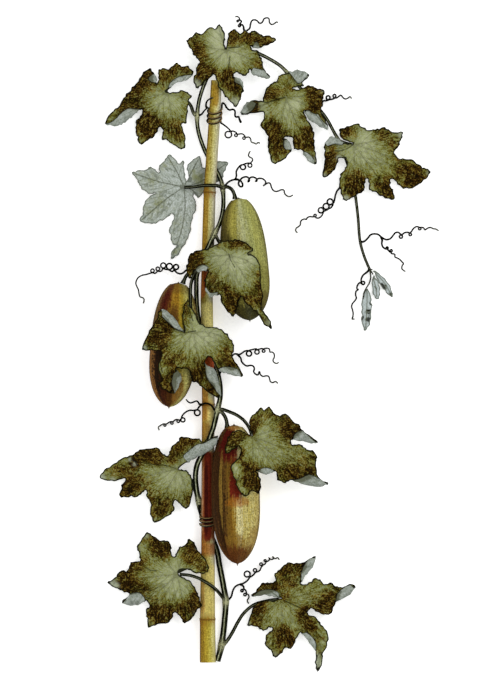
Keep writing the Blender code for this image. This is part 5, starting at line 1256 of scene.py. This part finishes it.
def build_fruit(name, paint):
    """A gourd, flat where it lies, faintly ribbed, drawn in round its stalk and beaked at its tip."""
    spec = FRUITS[name]
    radius = spec["radius"] * UNIT
    top, tip = fruit_axis(name)
    ahead = (tip - top).normalized()
    side = ahead.cross(Vector((0, 0, 1))).normalized()
    bm = bmesh.new()
    layers = {key: bm.verts.layers.float.new(key) for key in ("across", "upward", "along")}

    def vertex(point, across, upward, along):
        vert = bm.verts.new(point)
        vert[layers["across"]] = across
        vert[layers["upward"]] = upward
        vert[layers["along"]] = along
        return vert

    rings = []
    for n in range(1, FRUIT_RINGS):
        t = (1 - math.cos(math.pi * n / FRUIT_RINGS)) / 2
        size = radius * fruit_radius(t, spec["crown"])
        dimple = DIMPLE * math.exp(-((t / DIMPLE_REACH) ** 2))
        centre = top.lerp(tip, t) + ahead * dimple * (1 if size < radius * 0.3 else 0)
        ring = []
        for k in range(FRUIT_SIDES):
            turn = 2 * math.pi * (k + 0.5) / FRUIT_SIDES
            rib = 1 - RIB * (0.5 + 0.5 * math.cos(turn * RIBS)) * math.sin(math.pi * t)
            point = centre + (side * math.sin(turn) - Vector((0, 0, math.cos(turn)))) * size * rib
            point.z = max(point.z, 0.0)
            ring.append(vertex(point, -math.sin(turn), -math.cos(turn), t))
        rings.append(ring)
    for ring, after in zip(rings, rings[1:]):
        for k in range(FRUIT_SIDES):
            m = (k + 1) % FRUIT_SIDES
            bm.faces.new((ring[k], ring[m], after[m], after[k]))
    for ring, pole, t in ((rings[0], top, 0.0), (rings[-1], tip, 1.0)):
        centre = vertex(pole, 0.0, 0.0, t)
        for k in range(FRUIT_SIDES):
            bm.faces.new((ring[k], ring[(k + 1) % FRUIT_SIDES], centre))
    bmesh.ops.recalc_face_normals(bm, faces=bm.faces)
    return new_piece(name.replace("fruit", "gourd"), bm, [paint])


# Stems and tendrils

def looped(points, centre, radius):
    """Points once round a centre, from the last of the points on, the way that they already bend."""
    last = Vector(points[-1])
    ahead = last - Vector(points[-2])
    out = last - centre
    hand = 1 if out.x * ahead.y - out.y * ahead.x > 0 else -1
    start = math.atan2(out.y, out.x)
    ring = []
    for step in range(1, LOOP_STEPS + 1):
        turn = start + hand * 2 * math.pi * step / LOOP_STEPS
        ring.append((centre.x + radius * math.cos(turn), centre.y + radius * math.sin(turn)))
    return ring


def wire_path(items, spacing):
    """A smooth wire through its points and loops. Heights that aren't given lie between those that are."""
    spots, known, lifts = [], [], []
    for item in items:
        if item[0] == "loop":
            for step, spot in enumerate(looped(spots, Vector(item[1:3]), item[3]), 1):
                share = step / LOOP_STEPS
                spots.append(spot)
                lifts.append(LOOP_CLEARANCE * share + LOOP_RISE * item[3] * math.sin(math.pi * share))
        else:
            if len(item) == 3:
                known.append((len(spots), item[2]))
            spots.append(item[:2])
            lifts.append(0.0)
    heights = np.interp(range(len(spots)), [n for n, _ in known], [height for _, height in known])
    points = [place(*spot, max(height + lift, LOWEST_WIRE))
              for spot, height, lift in zip(spots, heights, lifts)]
    return smooth(points, spacing)


def wrap_path(spec, spacing):
    """A wire that runs to the cane, winds round it and runs off again, and where it winds."""
    start, end = spec["span"]
    steps = spec["turns"] * WRAP_STEPS
    winding = []
    for step in range(steps + 1):
        t = step / steps
        turn = spec["side"] + 2 * math.pi * spec["turns"] * t
        centre, radius = cane_at(start + (end - start) * t + spec["sag"] * math.sin(turn))
        reach = radius + RING_RADIUS + RING_GAP
        winding.append(centre + Vector((math.cos(turn), 0, math.sin(turn))) * reach)
    before = wire_path([*spec["before"], sheet_spot(winding[0])], spacing)[:-1]
    after = wire_path([sheet_spot(winding[-1]), *spec["after"]], spacing)[1:] if spec["after"] else []
    grip = [0.0] * len(before) + [1.0] * len(winding) + [0.0] * len(after)
    return before + winding + after, grip


def sheet_spot(point):
    """A point in metres as x, y on the sheet and a height in millimetres."""
    return point.x / UNIT + ORIGIN[0], ORIGIN[1] - point.y / UNIT, point.z / MM


def tendril_wires(spacing):
    """Every tendril's path, and how far each point of it grips the cane."""
    wires = []
    for group in TENDRILS.values():
        wires += [wire_path(items, spacing) for items in group]
    for spec in WRAPS.values():
        wires += [wire_path(items, spacing) for items in spec["roots"]]
    wires = [(wire, [0.0] * len(wire)) for wire in wires]
    return wires + [wrap_path(spec, spacing) for spec in WRAPS.values()]


def tapered(path, start, end, flare=0.0, flare_length=0.003):
    """Radii along a path, with an optional flare where it leaves the stem."""
    radii, run = [], 0.0
    for n, point in enumerate(path):
        run += (point - path[n - 1]).length if n else 0.0
        share = n / (len(path) - 1)
        radii.append(start + (end - start) * share + flare * math.exp(-((run / flare_length) ** 2)))
    return radii


def knots():
    """Where the leaf stalks and the fruit stalks leave the main stem."""
    roots = [points[0] for points in PETIOLES.values()] + [points[0] for points in STALKS.values()]
    return [place(*p) for p in roots]


def build_stems(paint):
    """The main stem, swollen at its knots, with the leaf stalks and the fruit stalks."""
    swellings = knots()
    bm = bmesh.new()

    def near_knot(path):
        return [max(math.exp(-(((p - k).length / KNOT_REACH) ** 2)) for k in swellings) for p in path]

    def ones(path):
        return [1.0] * len(path)

    def run_share(path):
        """0 for most of the stem, and up to 1 near its tip."""
        return [max(0.0, n / (len(path) - 1) * 2.2 - 1.2) for n in range(len(path))]

    def run_of(path):
        run = [0.0]
        for a, b in zip(path, path[1:]):
            run.append(run[-1] + (b - a).length)
        return run

    main = smooth([place(*p) for p in STEM], STEM_SPACING)
    knot = near_knot(main)
    radii = [r + KNOT_SWELL * k for r, k in zip(tapered(main, STEM_RADIUS, STEM_TIP_RADIUS), knot)]
    sweep(bm, main, radii, STEM_SIDES, {"knot": knot, "run": run_of(main), "slim": run_share(main)})
    for points in PETIOLES.values():
        path = smooth([place(*p) for p in points], PETIOLE_SPACING)
        radii = tapered(path, PETIOLE_RADIUS, PETIOLE_RADIUS * 0.85, STALK_FLARE)
        sweep(bm, path, radii, 10, {"knot": near_knot(path), "run": run_of(path), "slim": ones(path)})
    for points in YOUNG_PETIOLES.values():
        path = smooth([place(*p) for p in points], YOUNG_PETIOLE_SPACING)
        radii = tapered(path, YOUNG_PETIOLE_RADIUS, YOUNG_PETIOLE_RADIUS * 0.8)
        sweep(bm, path, radii, 8, {"knot": near_knot(path), "run": run_of(path), "slim": ones(path)})
    for name in FRUITS:
        path = smooth([place(*p) for p in STALKS[name]], STALK_SPACING)
        radii = tapered(path, STALK_RADIUS, STALK_RADIUS, STALK_FLARE)
        length = sum((b - a).length for a, b in zip(path, path[1:]))
        radii = [r + CROWN_FLARE * math.exp(-(((length - run) / CROWN_FLARE_LENGTH) ** 2))
                 for r, run in zip(radii, run_of(path))]
        sweep(bm, path, radii, 12, {"knot": near_knot(path), "run": run_of(path), "slim": ones(path)})
    return new_piece("stems", bm, [paint])


def build_tendrils(paint):
    """Every tendril, thinning to its tip and thicker where it winds round the cane."""
    bm = bmesh.new()
    for wire, grip in tendril_wires(TENDRIL_SPACING):
        radii = tapered(wire, TENDRIL_START, TENDRIL_END, TENDRIL_FLARE)
        radii = [r + (RING_RADIUS - r) * g for r, g in zip(radii, softened(grip, RING_FADE))]
        tip = [n / (len(wire) - 1) for n in range(len(wire))]
        sweep(bm, wire, radii, TENDRIL_SIDES, {"tip": tip, "grip": grip})
    return new_piece("tendrils", bm, [paint])


def softened(values, reach):
    """The values, each averaged with its neighbours."""
    windows = [values[max(n - reach, 0):n + reach + 1] for n in range(len(values))]
    return [sum(window) / len(window) for window in windows]


# Finishes

def paint(red, green, blue):
    """A colour given as it looks on a screen, 0 to 255, for a shader."""
    def linear(value):
        value /= 255
        return value / 12.92 if value <= 0.04045 else ((value + 0.055) / 1.055) ** 2.4
    return linear(red), linear(green), linear(blue), 1.0


class Value:
    """A number or colour that a material works out, as one socket of a node."""

    def __init__(self, finish, socket):
        self.finish = finish
        self.socket = socket

    def maths(self, operation, first, second):
        return self.finish.add("ShaderNodeMath", {"operation": operation}, {0: first, 1: second})

    def __add__(self, other):
        return self.maths("ADD", self, other)

    __radd__ = __add__

    def __mul__(self, other):
        return self.maths("MULTIPLY", self, other)

    __rmul__ = __mul__

    def __sub__(self, other):
        return self.maths("SUBTRACT", self, other)

    def __rsub__(self, other):
        return self.maths("SUBTRACT", other, self)

    def __truediv__(self, other):
        return self.maths("DIVIDE", self, other)


class Finish:
    """One material and the nodes that it is made of."""

    def __init__(self, name):
        self.material = bpy.data.materials.new(name)
        self.material.use_nodes = True
        self.tree = self.material.node_tree
        self.shader = self.tree.nodes["Principled BSDF"]
        coordinates = self.tree.nodes.new("ShaderNodeTexCoord")
        self.place = Value(self, coordinates.outputs["Object"])

    def add(self, kind, settings=None, sockets=None, output=0):
        """A node with its settings made first, then its sockets filled or linked."""
        node = self.tree.nodes.new(kind)
        for key, value in (settings or {}).items():
            if key == "stops":
                while len(node.color_ramp.elements) < len(value):
                    node.color_ramp.elements.new(1.0)
                for element, (position, colour) in zip(node.color_ramp.elements, value):
                    element.position = position
                    element.color = colour
            else:
                setattr(node, key, value)
        for key, value in (sockets or {}).items():
            if isinstance(value, Value):
                self.tree.links.new(value.socket, node.inputs[key])
            else:
                node.inputs[key].default_value = value
        return Value(self, node.outputs[output])

    def attribute(self, name):
        return self.add("ShaderNodeAttribute", {"attribute_name": name}, output="Fac")

    def noise(self, scale, detail=2.0, vector=None, roughness=0.5):
        return self.add("ShaderNodeTexNoise", None, {"Vector": vector or self.place, "Scale": scale,
                                                     "Detail": detail, "Roughness": roughness})

    def vector(self, x, y, z):
        return self.add("ShaderNodeCombineXYZ", None, {0: x, 1: y, 2: z})

    def ramp(self, value, stops):
        """A colour for each value from 0 to 1. Stops are positions and colours."""
        return self.add("ShaderNodeValToRGB", {"stops": stops}, {"Fac": value}, "Color")

    def band(self, value, low, high):
        """0 at low, 1 at high, and smooth between, also where high is under low."""
        return self.add("ShaderNodeMapRange", {"interpolation_type": "SMOOTHSTEP"},
                        {"Value": value, "From Min": low, "From Max": high})

    def mix(self, factor, first, second, blend="MIX"):
        """Colours: first where factor is 0, second where it is 1."""
        return self.add("ShaderNodeMix", {"data_type": "RGBA", "blend_type": blend},
                        {0: factor, 6: first, 7: second}, 2)

    def shaded(self, colour, factor):
        """The colour made darker or lighter by a factor."""
        return self.add("ShaderNodeVectorMath", {"operation": "SCALE"}, {0: colour, "Scale": factor},
                        "Vector")

    def larger(self, first, second):
        return self.add("ShaderNodeMath", {"operation": "MAXIMUM"}, {0: first, 1: second})

    def surface(self, colour, roughness, height=None, depth=0.0002, strength=1.0, **constants):
        self.tree.links.new(colour.socket, self.shader.inputs["Base Color"])
        if isinstance(roughness, Value):
            self.tree.links.new(roughness.socket, self.shader.inputs["Roughness"])
        else:
            self.shader.inputs["Roughness"].default_value = roughness
        if height:
            bump = self.add("ShaderNodeBump", None,
                            {"Height": height, "Distance": depth, "Strength": strength})
            self.tree.links.new(bump.socket, self.shader.inputs["Normal"])
        for key, value in constants.items():
            self.shader.inputs[key.replace("_", " ")].default_value = value
        return self.material


INK = paint(9, 8, 3)
PALE_INK = paint(92, 98, 88)


def hatching(finish):
    """Fine strokes that run out from the base of a blade, from 0 to 1."""
    reach = finish.vector(finish.attribute("reach_x"), finish.attribute("reach_y"), 0.0)
    length = finish.add("ShaderNodeVectorMath", {"operation": "LENGTH"}, {0: reach}, "Value")
    towards = finish.add("ShaderNodeVectorMath", {"operation": "NORMALIZE"}, {0: reach}, "Vector")
    rays = finish.add("ShaderNodeVectorMath", {"operation": "SCALE"}, {0: towards, "Scale": 22.0},
                      "Vector")
    along = finish.vector(0.0, 0.0, length * 0.16)
    strokes = finish.add("ShaderNodeVectorMath", {"operation": "ADD"}, {0: rays, 1: along}, "Vector")
    return finish.noise(1.0, 2.0, strokes, 0.6)


def upper_face():
    """The blade's upper face: sage round the base, olive, then dark brown out in the lobes."""
    f = Finish("upper face of a blade")
    margin = f.attribute("margin")
    strokes = hatching(f)
    grain = f.noise(GRAIN_SCALE, 1.0)
    speck = f.noise(1700.0, 1.0)
    mottle = f.noise(260.0, 3.0)
    warmth = f.noise(130.0, 2.0)
    tone = f.attribute("tone")
    rough = 0.6 + tone * 1.1
    tone = tone + ((strokes - 0.5) * 0.8 + (grain - 0.5) * 0.9 + (mottle - 0.5) * 0.4) * rough
    tone = tone + (speck - 0.5) * 0.9
    olive = f.ramp(tone, [(0.0, paint(184, 188, 154)), (0.16, paint(152, 157, 114)),
                          (0.34, paint(132, 139, 99)), (0.5, paint(119, 121, 54)),
                          (0.62, paint(96, 91, 26)), (0.74, paint(64, 56, 12)),
                          (0.86, paint(36, 28, 4)), (0.97, paint(14, 10, 1))])
    brown = f.ramp(tone, [(0.0, paint(186, 186, 150)), (0.18, paint(152, 152, 106)),
                          (0.36, paint(136, 136, 80)), (0.5, paint(130, 122, 48)),
                          (0.62, paint(106, 86, 24)), (0.74, paint(76, 51, 12)),
                          (0.86, paint(42, 24, 3)), (0.97, paint(16, 9, 1))])
    rust = f.attribute("tone") + (warmth - 0.5) * 1.2 + (grain - 0.5) * 0.3
    colour = f.mix(f.band(rust, 0.5, 0.86), olive, brown)
    grey = f.band(f.attribute("grey") + (grain - 0.5) * 0.4, 0.15, 0.9)
    colour = f.mix(grey * 0.8, colour, paint(156, 163, 142))
    vein = f.attribute("vein") + (grain - 0.5) * 0.5
    ridge = f.band(vein, 0.6, 0.2) * f.band(f.attribute("tone"), 0.66, 0.46)
    beside = f.band(vein, 1.7, 1.0) * f.band(vein, 0.5, 0.95)
    twig = f.band(f.attribute("twig") + (grain - 0.5) * 0.7, 0.55, 0.15)
    colour = f.mix(beside * 0.16, colour, paint(50, 42, 12))
    colour = f.mix(ridge * 0.4, colour, paint(44, 40, 14))
    colour = f.mix(twig * 0.28, colour, paint(46, 38, 10))
    colour = f.shaded(colour, 1.0 + (speck - 0.5) * 1.8 + (grain - 0.5) * 0.9)
    fold = f.band(f.attribute("fold") + (grain - 0.5) * 1.6 + (mottle - 0.5), 0.85, 0.25) * 0.8
    edge = f.band(margin + (mottle - 0.5) * 2.2 + (grain - 0.5) * 0.6, 1.6, 0.85)
    colour = f.mix(f.larger(fold, edge) * 0.94, colour, INK)
    relief = grain * 0.4 + strokes * 0.4 + f.band(f.attribute("vein"), 0.0, 1.6) * 0.5
    relief = relief + f.band(f.attribute("twig"), 0.0, 1.2) * 0.4
    return f.surface(colour, 0.8, relief, 0.0003, 0.8, Specular_IOR_Level=SHEEN)


def under_face(name, tint, tint_amount, ink_amount, cool, light, blots=0.0):
    """The blade's underside: pale grey-green, with raised veins and a dark line at the free edge."""
    f = Finish(name)
    margin = f.attribute("margin")
    flap = f.attribute("flap")
    strokes = hatching(f)
    grain = f.noise(GRAIN_SCALE, 1.0)
    mottle = f.noise(300.0, 3.0)
    shade = 0.5 + (strokes - 0.5) * 1.1 + (grain - 0.5) * 1.1 + (mottle - 0.5) * 0.8
    colour = f.ramp(shade, [(0.08, paint(84, 90, 68)), (0.32, paint(126, 132, 110)),
                            (0.52, paint(150, 156, 138)), (0.72, paint(170, 176, 166)),
                            (0.95, paint(198, 202, 198))])
    colour = f.mix(cool, colour, paint(160, 170, 176))
    tone = f.attribute("tone")
    colour = f.mix(f.band(tone + (mottle - 0.5) * 0.9, 0.5, 1.0) * tint_amount, colour, tint)
    blot = tuple(part * 0.3 for part in tint[:3]) + (1.0,)
    colour = f.mix(f.band(tone + (grain - 0.5) * 0.3, 0.66, 0.76) * blots, colour, blot)
    vein = f.band(f.attribute("vein") + (grain - 0.5) * 0.5, 0.9, 0.35)
    twig = f.band(f.attribute("twig") + (mottle - 0.5) * 1.6, 0.5, 0.1)
    colour = f.mix(vein * 0.62, colour, paint(62, 66, 44))
    colour = f.mix(twig * 0.4, colour, paint(70, 74, 50))
    edge = f.band(margin + (mottle - 0.5) * 1.2, 1.25, 0.6)
    free = f.band(flap, 0.72, 0.9)
    ink = f.mix(free, PALE_INK, INK)
    fold = f.band(f.attribute("fold"), 0.9, 0.3) * f.band(flap, 0.5, 0.2)
    colour = f.mix(f.larger(fold, edge) * ink_amount, colour, ink)
    # Painted shade across the turn of each flap. light is a painted brightness for the whole face: darker
    # for the curled flaps, lighter for the face-down blade and the young blades.
    shadow = f.band(flap, 0.75, 0.5) * f.band(flap, 0.2, 0.5)
    colour = f.shaded(colour, light - shadow * 0.25)
    relief = grain * 0.3 + f.band(f.attribute("vein"), 1.6, 0.0) * 0.8
    relief = relief + f.band(f.attribute("twig"), 1.1, 0.0) * 0.5
    return f.surface(colour, 0.8, relief, 0.00025, 0.7, Specular_IOR_Level=SHEEN)


def stem_finish():
    """Stems that are nearly black at both edges, olive between, with a pale painted highlight down the
    middle and on top of each knot.
    """
    f = Finish("green stem")
    across, upward = f.attribute("across"), f.attribute("upward")
    run = f.attribute("run")
    fibres = f.noise(1.0, 2.0, f.vector(across * 7.0, upward * 7.0, run * 200.0))
    grain = f.noise(GRAIN_SCALE, 1.0)
    wander = f.noise(110.0, 2.0)
    side = across * 0.5 + 0.5 + (wander - 0.5) * 0.3 + (fibres - 0.5) * 0.2
    # The pale stops in the middle of this ramp are a painted highlight along each stem.
    colour = f.ramp(side, [(0.0, paint(8, 8, 3)), (0.32, paint(14, 15, 5)),
                           (0.39, paint(60, 64, 36)), (0.45, paint(176, 180, 154)),
                           (0.52, paint(150, 154, 122)), (0.58, paint(66, 70, 36)),
                           (0.67, paint(26, 28, 10)), (0.84, paint(8, 8, 3))])
    below = f.ramp(fibres, [(0.3, paint(48, 50, 24)), (0.7, paint(86, 90, 52))])
    colour = f.mix(f.attribute("slim") * 0.7, colour, paint(12, 13, 5))
    colour = f.mix(f.band(upward, 0.15, -0.25), colour, below)
    colour = f.shaded(colour, 1.0 + (grain - 0.5) * 2.4)
    # A painted highlight: pale cream on the upper side of each knot.
    knot = f.attribute("knot") * f.band(upward, 0.0, 0.7) * f.band(grain, 0.35, 0.55)
    colour = f.mix(knot * 0.75, colour, paint(186, 186, 142))
    relief = fibres * 0.6 + grain * 0.3
    return f.surface(colour, 0.8, relief, 0.0002, 0.7, Specular_IOR_Level=SHEEN)


def tendril_finish():
    """Nearly black tendrils that fade to grey-green at the tip, with a painted ochre highlight on the upper
    side of the turns that grip the cane.
    """
    f = Finish("tendril")
    tip = f.attribute("tip")
    grain = f.noise(700.0, 2.0)
    colour = f.ramp(tip + (grain - 0.5) * 0.3, [(0.0, paint(8, 8, 4)), (0.8, paint(12, 12, 7)),
                                                (0.95, paint(40, 42, 32)), (1.0, paint(84, 86, 74))])
    # A painted highlight: pale ochre on the upper side of each turn round the cane.
    lit = f.attribute("grip") * f.band(f.attribute("across") + (grain - 0.5) * 0.5, 0.1, 0.35)
    lit = lit * f.band(f.attribute("upward"), 0.05, 0.35)
    colour = f.mix(lit * 0.6, colour, paint(160, 132, 84))
    return f.surface(colour, 0.7, grain, 0.0001, 0.5, Specular_IOR_Level=SHEEN)


def cane_finish():
    """Yellow bamboo: ochre down its left side and pale down its right, as painted shade and painted light
    from the right, with stains, patches of painted light and shade, and dark joints.
    """
    f = Finish("bamboo")
    across, upward, down = f.attribute("across"), f.attribute("upward"), f.attribute("down")
    fibres = f.noise(1.0, 3.0, f.vector(across * 14.0, upward * 14.0, down * 0.045), 0.6)
    grain = f.noise(820.0, 2.0)
    blotch = f.noise(75.0, 3.0)
    # Darker to the left and paler to the right: painted shade and painted light, as if lit from the right.
    side = across * 0.5 + 0.5 + (fibres - 0.5) * 0.6 + (blotch - 0.5) * 0.25 + (grain - 0.5) * 0.3
    pale = f.ramp(side, [(0.0, paint(110, 82, 30)), (0.1, paint(143, 118, 42)),
                         (0.28, paint(152, 134, 56)), (0.45, paint(174, 164, 92)),
                         (0.62, paint(177, 170, 112)), (0.8, paint(182, 178, 136)),
                         (0.93, paint(176, 171, 146)), (1.0, paint(146, 136, 112))])
    deep = f.ramp(side, [(0.0, paint(92, 68, 20)), (0.12, paint(124, 96, 30)),
                         (0.34, paint(156, 130, 40)), (0.56, paint(166, 148, 52)),
                         (0.76, paint(174, 162, 76)), (0.92, paint(188, 180, 116)),
                         (1.0, paint(148, 138, 84))])
    colour = f.mix(f.band(down + (blotch - 0.5) * 60.0, 520.0, 620.0), pale, deep)
    # Real stains, and patches of painted light and painted shade, as listed in the table above.
    for top, foot, left, right, shade, amount in CANE_STAINS_LIGHT_AND_SHADE:
        reach = f.band(down, top - 8, top + 8) * f.band(down, foot + 8, foot - 8)
        width = f.band(across, left - 0.3, left + 0.3) * f.band(across, right + 0.3, right - 0.3)
        patch = f.band(reach * width + (blotch - 0.5) * 0.8 + (fibres - 0.5) * 0.8, 0.25, 0.7)
        colour = f.mix(patch * amount, colour, paint(*shade))
    colour = f.shaded(colour, 1.0 + (grain - 0.5) * 1.8 + (fibres - 0.5) * 1.6)
    ring = f.band(f.attribute("joint") + (grain - 0.5) * 1.2, 1.5, 0.3)
    colour = f.mix(ring * 0.8, colour, paint(96, 66, 22))
    near = f.band(f.attribute("joint"), 9.0, 2.0) * f.band(grain, 0.42, 0.6)
    colour = f.mix(near * 0.8, colour, paint(128, 84, 24))
    rim = f.larger(f.band(across, -0.86, -0.97), f.band(across, 0.9, 0.99)) * f.band(upward, -0.3, 0.1)
    colour = f.mix(rim * 0.6, colour, paint(84, 60, 26))
    relief = fibres * 0.7 + grain * 0.25
    return f.surface(colour, 0.7, relief, 0.0002, 0.5, Specular_IOR_Level=SHEEN)


def gourd_finish(name, stops, patches_and_shade, dot):
    """A gourd with lengthwise stripes, darker to its left partly as painted shade. Stops are the stripes
    from its left side to its right;
    the patches, many of them painted shade, are given as centre across, centre along, half width, half
    length, shade, amount."""
    f = Finish(name)
    across, upward, along = f.attribute("across"), f.attribute("upward"), f.attribute("along")
    streaks = f.noise(1.0, 3.0, f.vector(across * 9.0, upward * 9.0, along * 2.4), 0.6)
    fine = f.noise(1.0, 2.0, f.vector(across * 30.0, upward * 30.0, along * 5.0))
    grain = f.noise(820.0, 1.0)
    blotch = f.noise(80.0, 3.0)
    dots = f.noise(520.0, 2.0)
    side = across * 0.5 + 0.5 + (streaks - 0.5) * 0.2 + (fine - 0.5) * 0.24 + (dots - 0.5) * 0.2
    colour = f.ramp(side, [(position, paint(*shade)) for position, shade in stops])
    # Patches of the gourd's own colour and of painted shade.
    for centre, middle, width, length, shade, amount in patches_and_shade:
        beside = (across - centre) / width + (streaks - 0.5) * 0.9 + (dots - 0.5) * 1.1
        beyond = (along - middle) / length + (blotch - 0.5) * 0.8 + (fine - 0.5) * 1.4
        off = beside * beside + beyond * beyond
        colour = f.mix(f.band(off, 1.35, 0.65) * amount, colour, paint(*shade))
    stipple = f.band(dots * 0.6 + grain * 0.4 + (fine - 0.5) * 0.7, 0.52, 0.7)
    colour = f.mix(stipple * 0.5, colour, paint(*dot))
    colour = f.shaded(colour, 1.0 + (grain - 0.5) * 2.0 + (fine - 0.5) * 1.6)
    rim = f.band(across * across, 0.86, 0.99) * f.band(upward, -0.4, 0.0)
    ends = f.larger(f.band(along, 0.012, 0.002), f.band(along, 0.985, 0.998))
    colour = f.mix(f.larger(ends, rim * 0.75) * 0.8, colour, paint(44, 30, 14))
    relief = streaks * 0.5 + grain * 0.2 + fine * 0.3
    return f.surface(colour, 0.7, relief, 0.0003, 0.45, Specular_IOR_Level=SHEEN)


def floor_finish():
    f = Finish("pale floor")
    grain = f.noise(260.0, 3.0)
    colour = f.ramp(grain, [(0.3, paint(250, 250, 249)), (0.7, paint(254, 254, 253))])
    return f.surface(colour, 0.9, Emission_Color=(1, 1, 1, 1), Emission_Strength=FLOOR_GLOW)


# Building the plant

def stand_in(piece, node):
    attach(piece, "root")
    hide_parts(node)


def build_plant():
    upper = upper_face()
    under = under_face("underside of a blade", paint(126, 130, 92), 0.4, 0.95, 0.25, 0.9, 0.8)
    shown = under_face("underside of the blade that lies face down", paint(106, 110, 56),
                       0.8, 0.85, 0.3, 1.14)
    young = under_face("young blade", paint(40, 38, 26), 0.95, 0.95, 0.6, 1.3, 0.85)
    for name in LEAVES:
        if name == "leaf_05":
            paints = [shown, upper]
        elif name.startswith("young"):
            paints = [young, young]
        else:
            paints = [upper, under]
        stand_in(build_blade(name, paints), name)
    stand_in(build_stems(stem_finish()), "vine_stem")
    stand_in(build_tendrils(tendril_finish()), "vine_stem")
    stand_in(build_cane(cane_finish()), "bamboo_cane")
    for name in FRUITS:
        green = name == "fruit_upper"
        finish = gourd_finish(name.replace("fruit", "gourd") + " rind", GOURD_STRIPES_AND_SHADE[name],
                              GOURD_PATCHES_AND_SHADE[name], (62, 52, 16) if green else (56, 26, 8))
        stand_in(build_fruit(name, finish), name)


def lay_floor():
    bpy.ops.mesh.primitive_plane_add(size=FLOOR_SIZE, location=(0, 0, 0))
    floor = bpy.context.object
    floor.name = "floor"
    floor.data.materials.append(floor_finish())


def soft_light(name, place_at, size, power):
    """A wide soft lamp that looks at the middle of the plant."""
    lamp = bpy.data.lights.new(name, "AREA")
    lamp.size = size
    lamp.energy = power
    holder = bpy.data.objects.new(name, lamp)
    holder.location = place_at
    holder.rotation_euler = Vector(place_at).to_track_quat("Z", "Y").to_euler()
    bpy.context.collection.objects.link(holder)


def light_studio():
    world = bpy.data.worlds.new("studio")
    world.use_nodes = True
    world.node_tree.nodes["Background"].inputs["Color"].default_value = (1, 1, 1, 1)
    world.node_tree.nodes["Background"].inputs["Strength"].default_value = WORLD_LIGHT
    bpy.context.scene.world = world
    soft_light("key", (1.2, 0.9, 2.2), 1.6, KEY_LIGHT)
    soft_light("fill", (-1.6, -0.4, 2.0), 2.2, FILL_LIGHT)


def set_camera():
    """Straight down, from far off, with the plant framed as it is on the sheet."""
    camera = bpy.data.cameras.new("camera")
    camera.lens = SENSOR * CAMERA_HEIGHT / (SHEET_HEIGHT * UNIT)
    camera.sensor_width = SENSOR
    camera.clip_end = 100.0
    holder = bpy.data.objects.new("camera", camera)
    centre = place(250.0, 350.0)
    holder.location = (centre.x, centre.y, CAMERA_HEIGHT)
    bpy.context.collection.objects.link(holder)
    bpy.context.scene.camera = holder


build_plant()
lay_floor()
light_studio()
set_camera()
bpy.context.scene.view_settings.view_transform = "Standard"

bpy.context.view_layer.update()
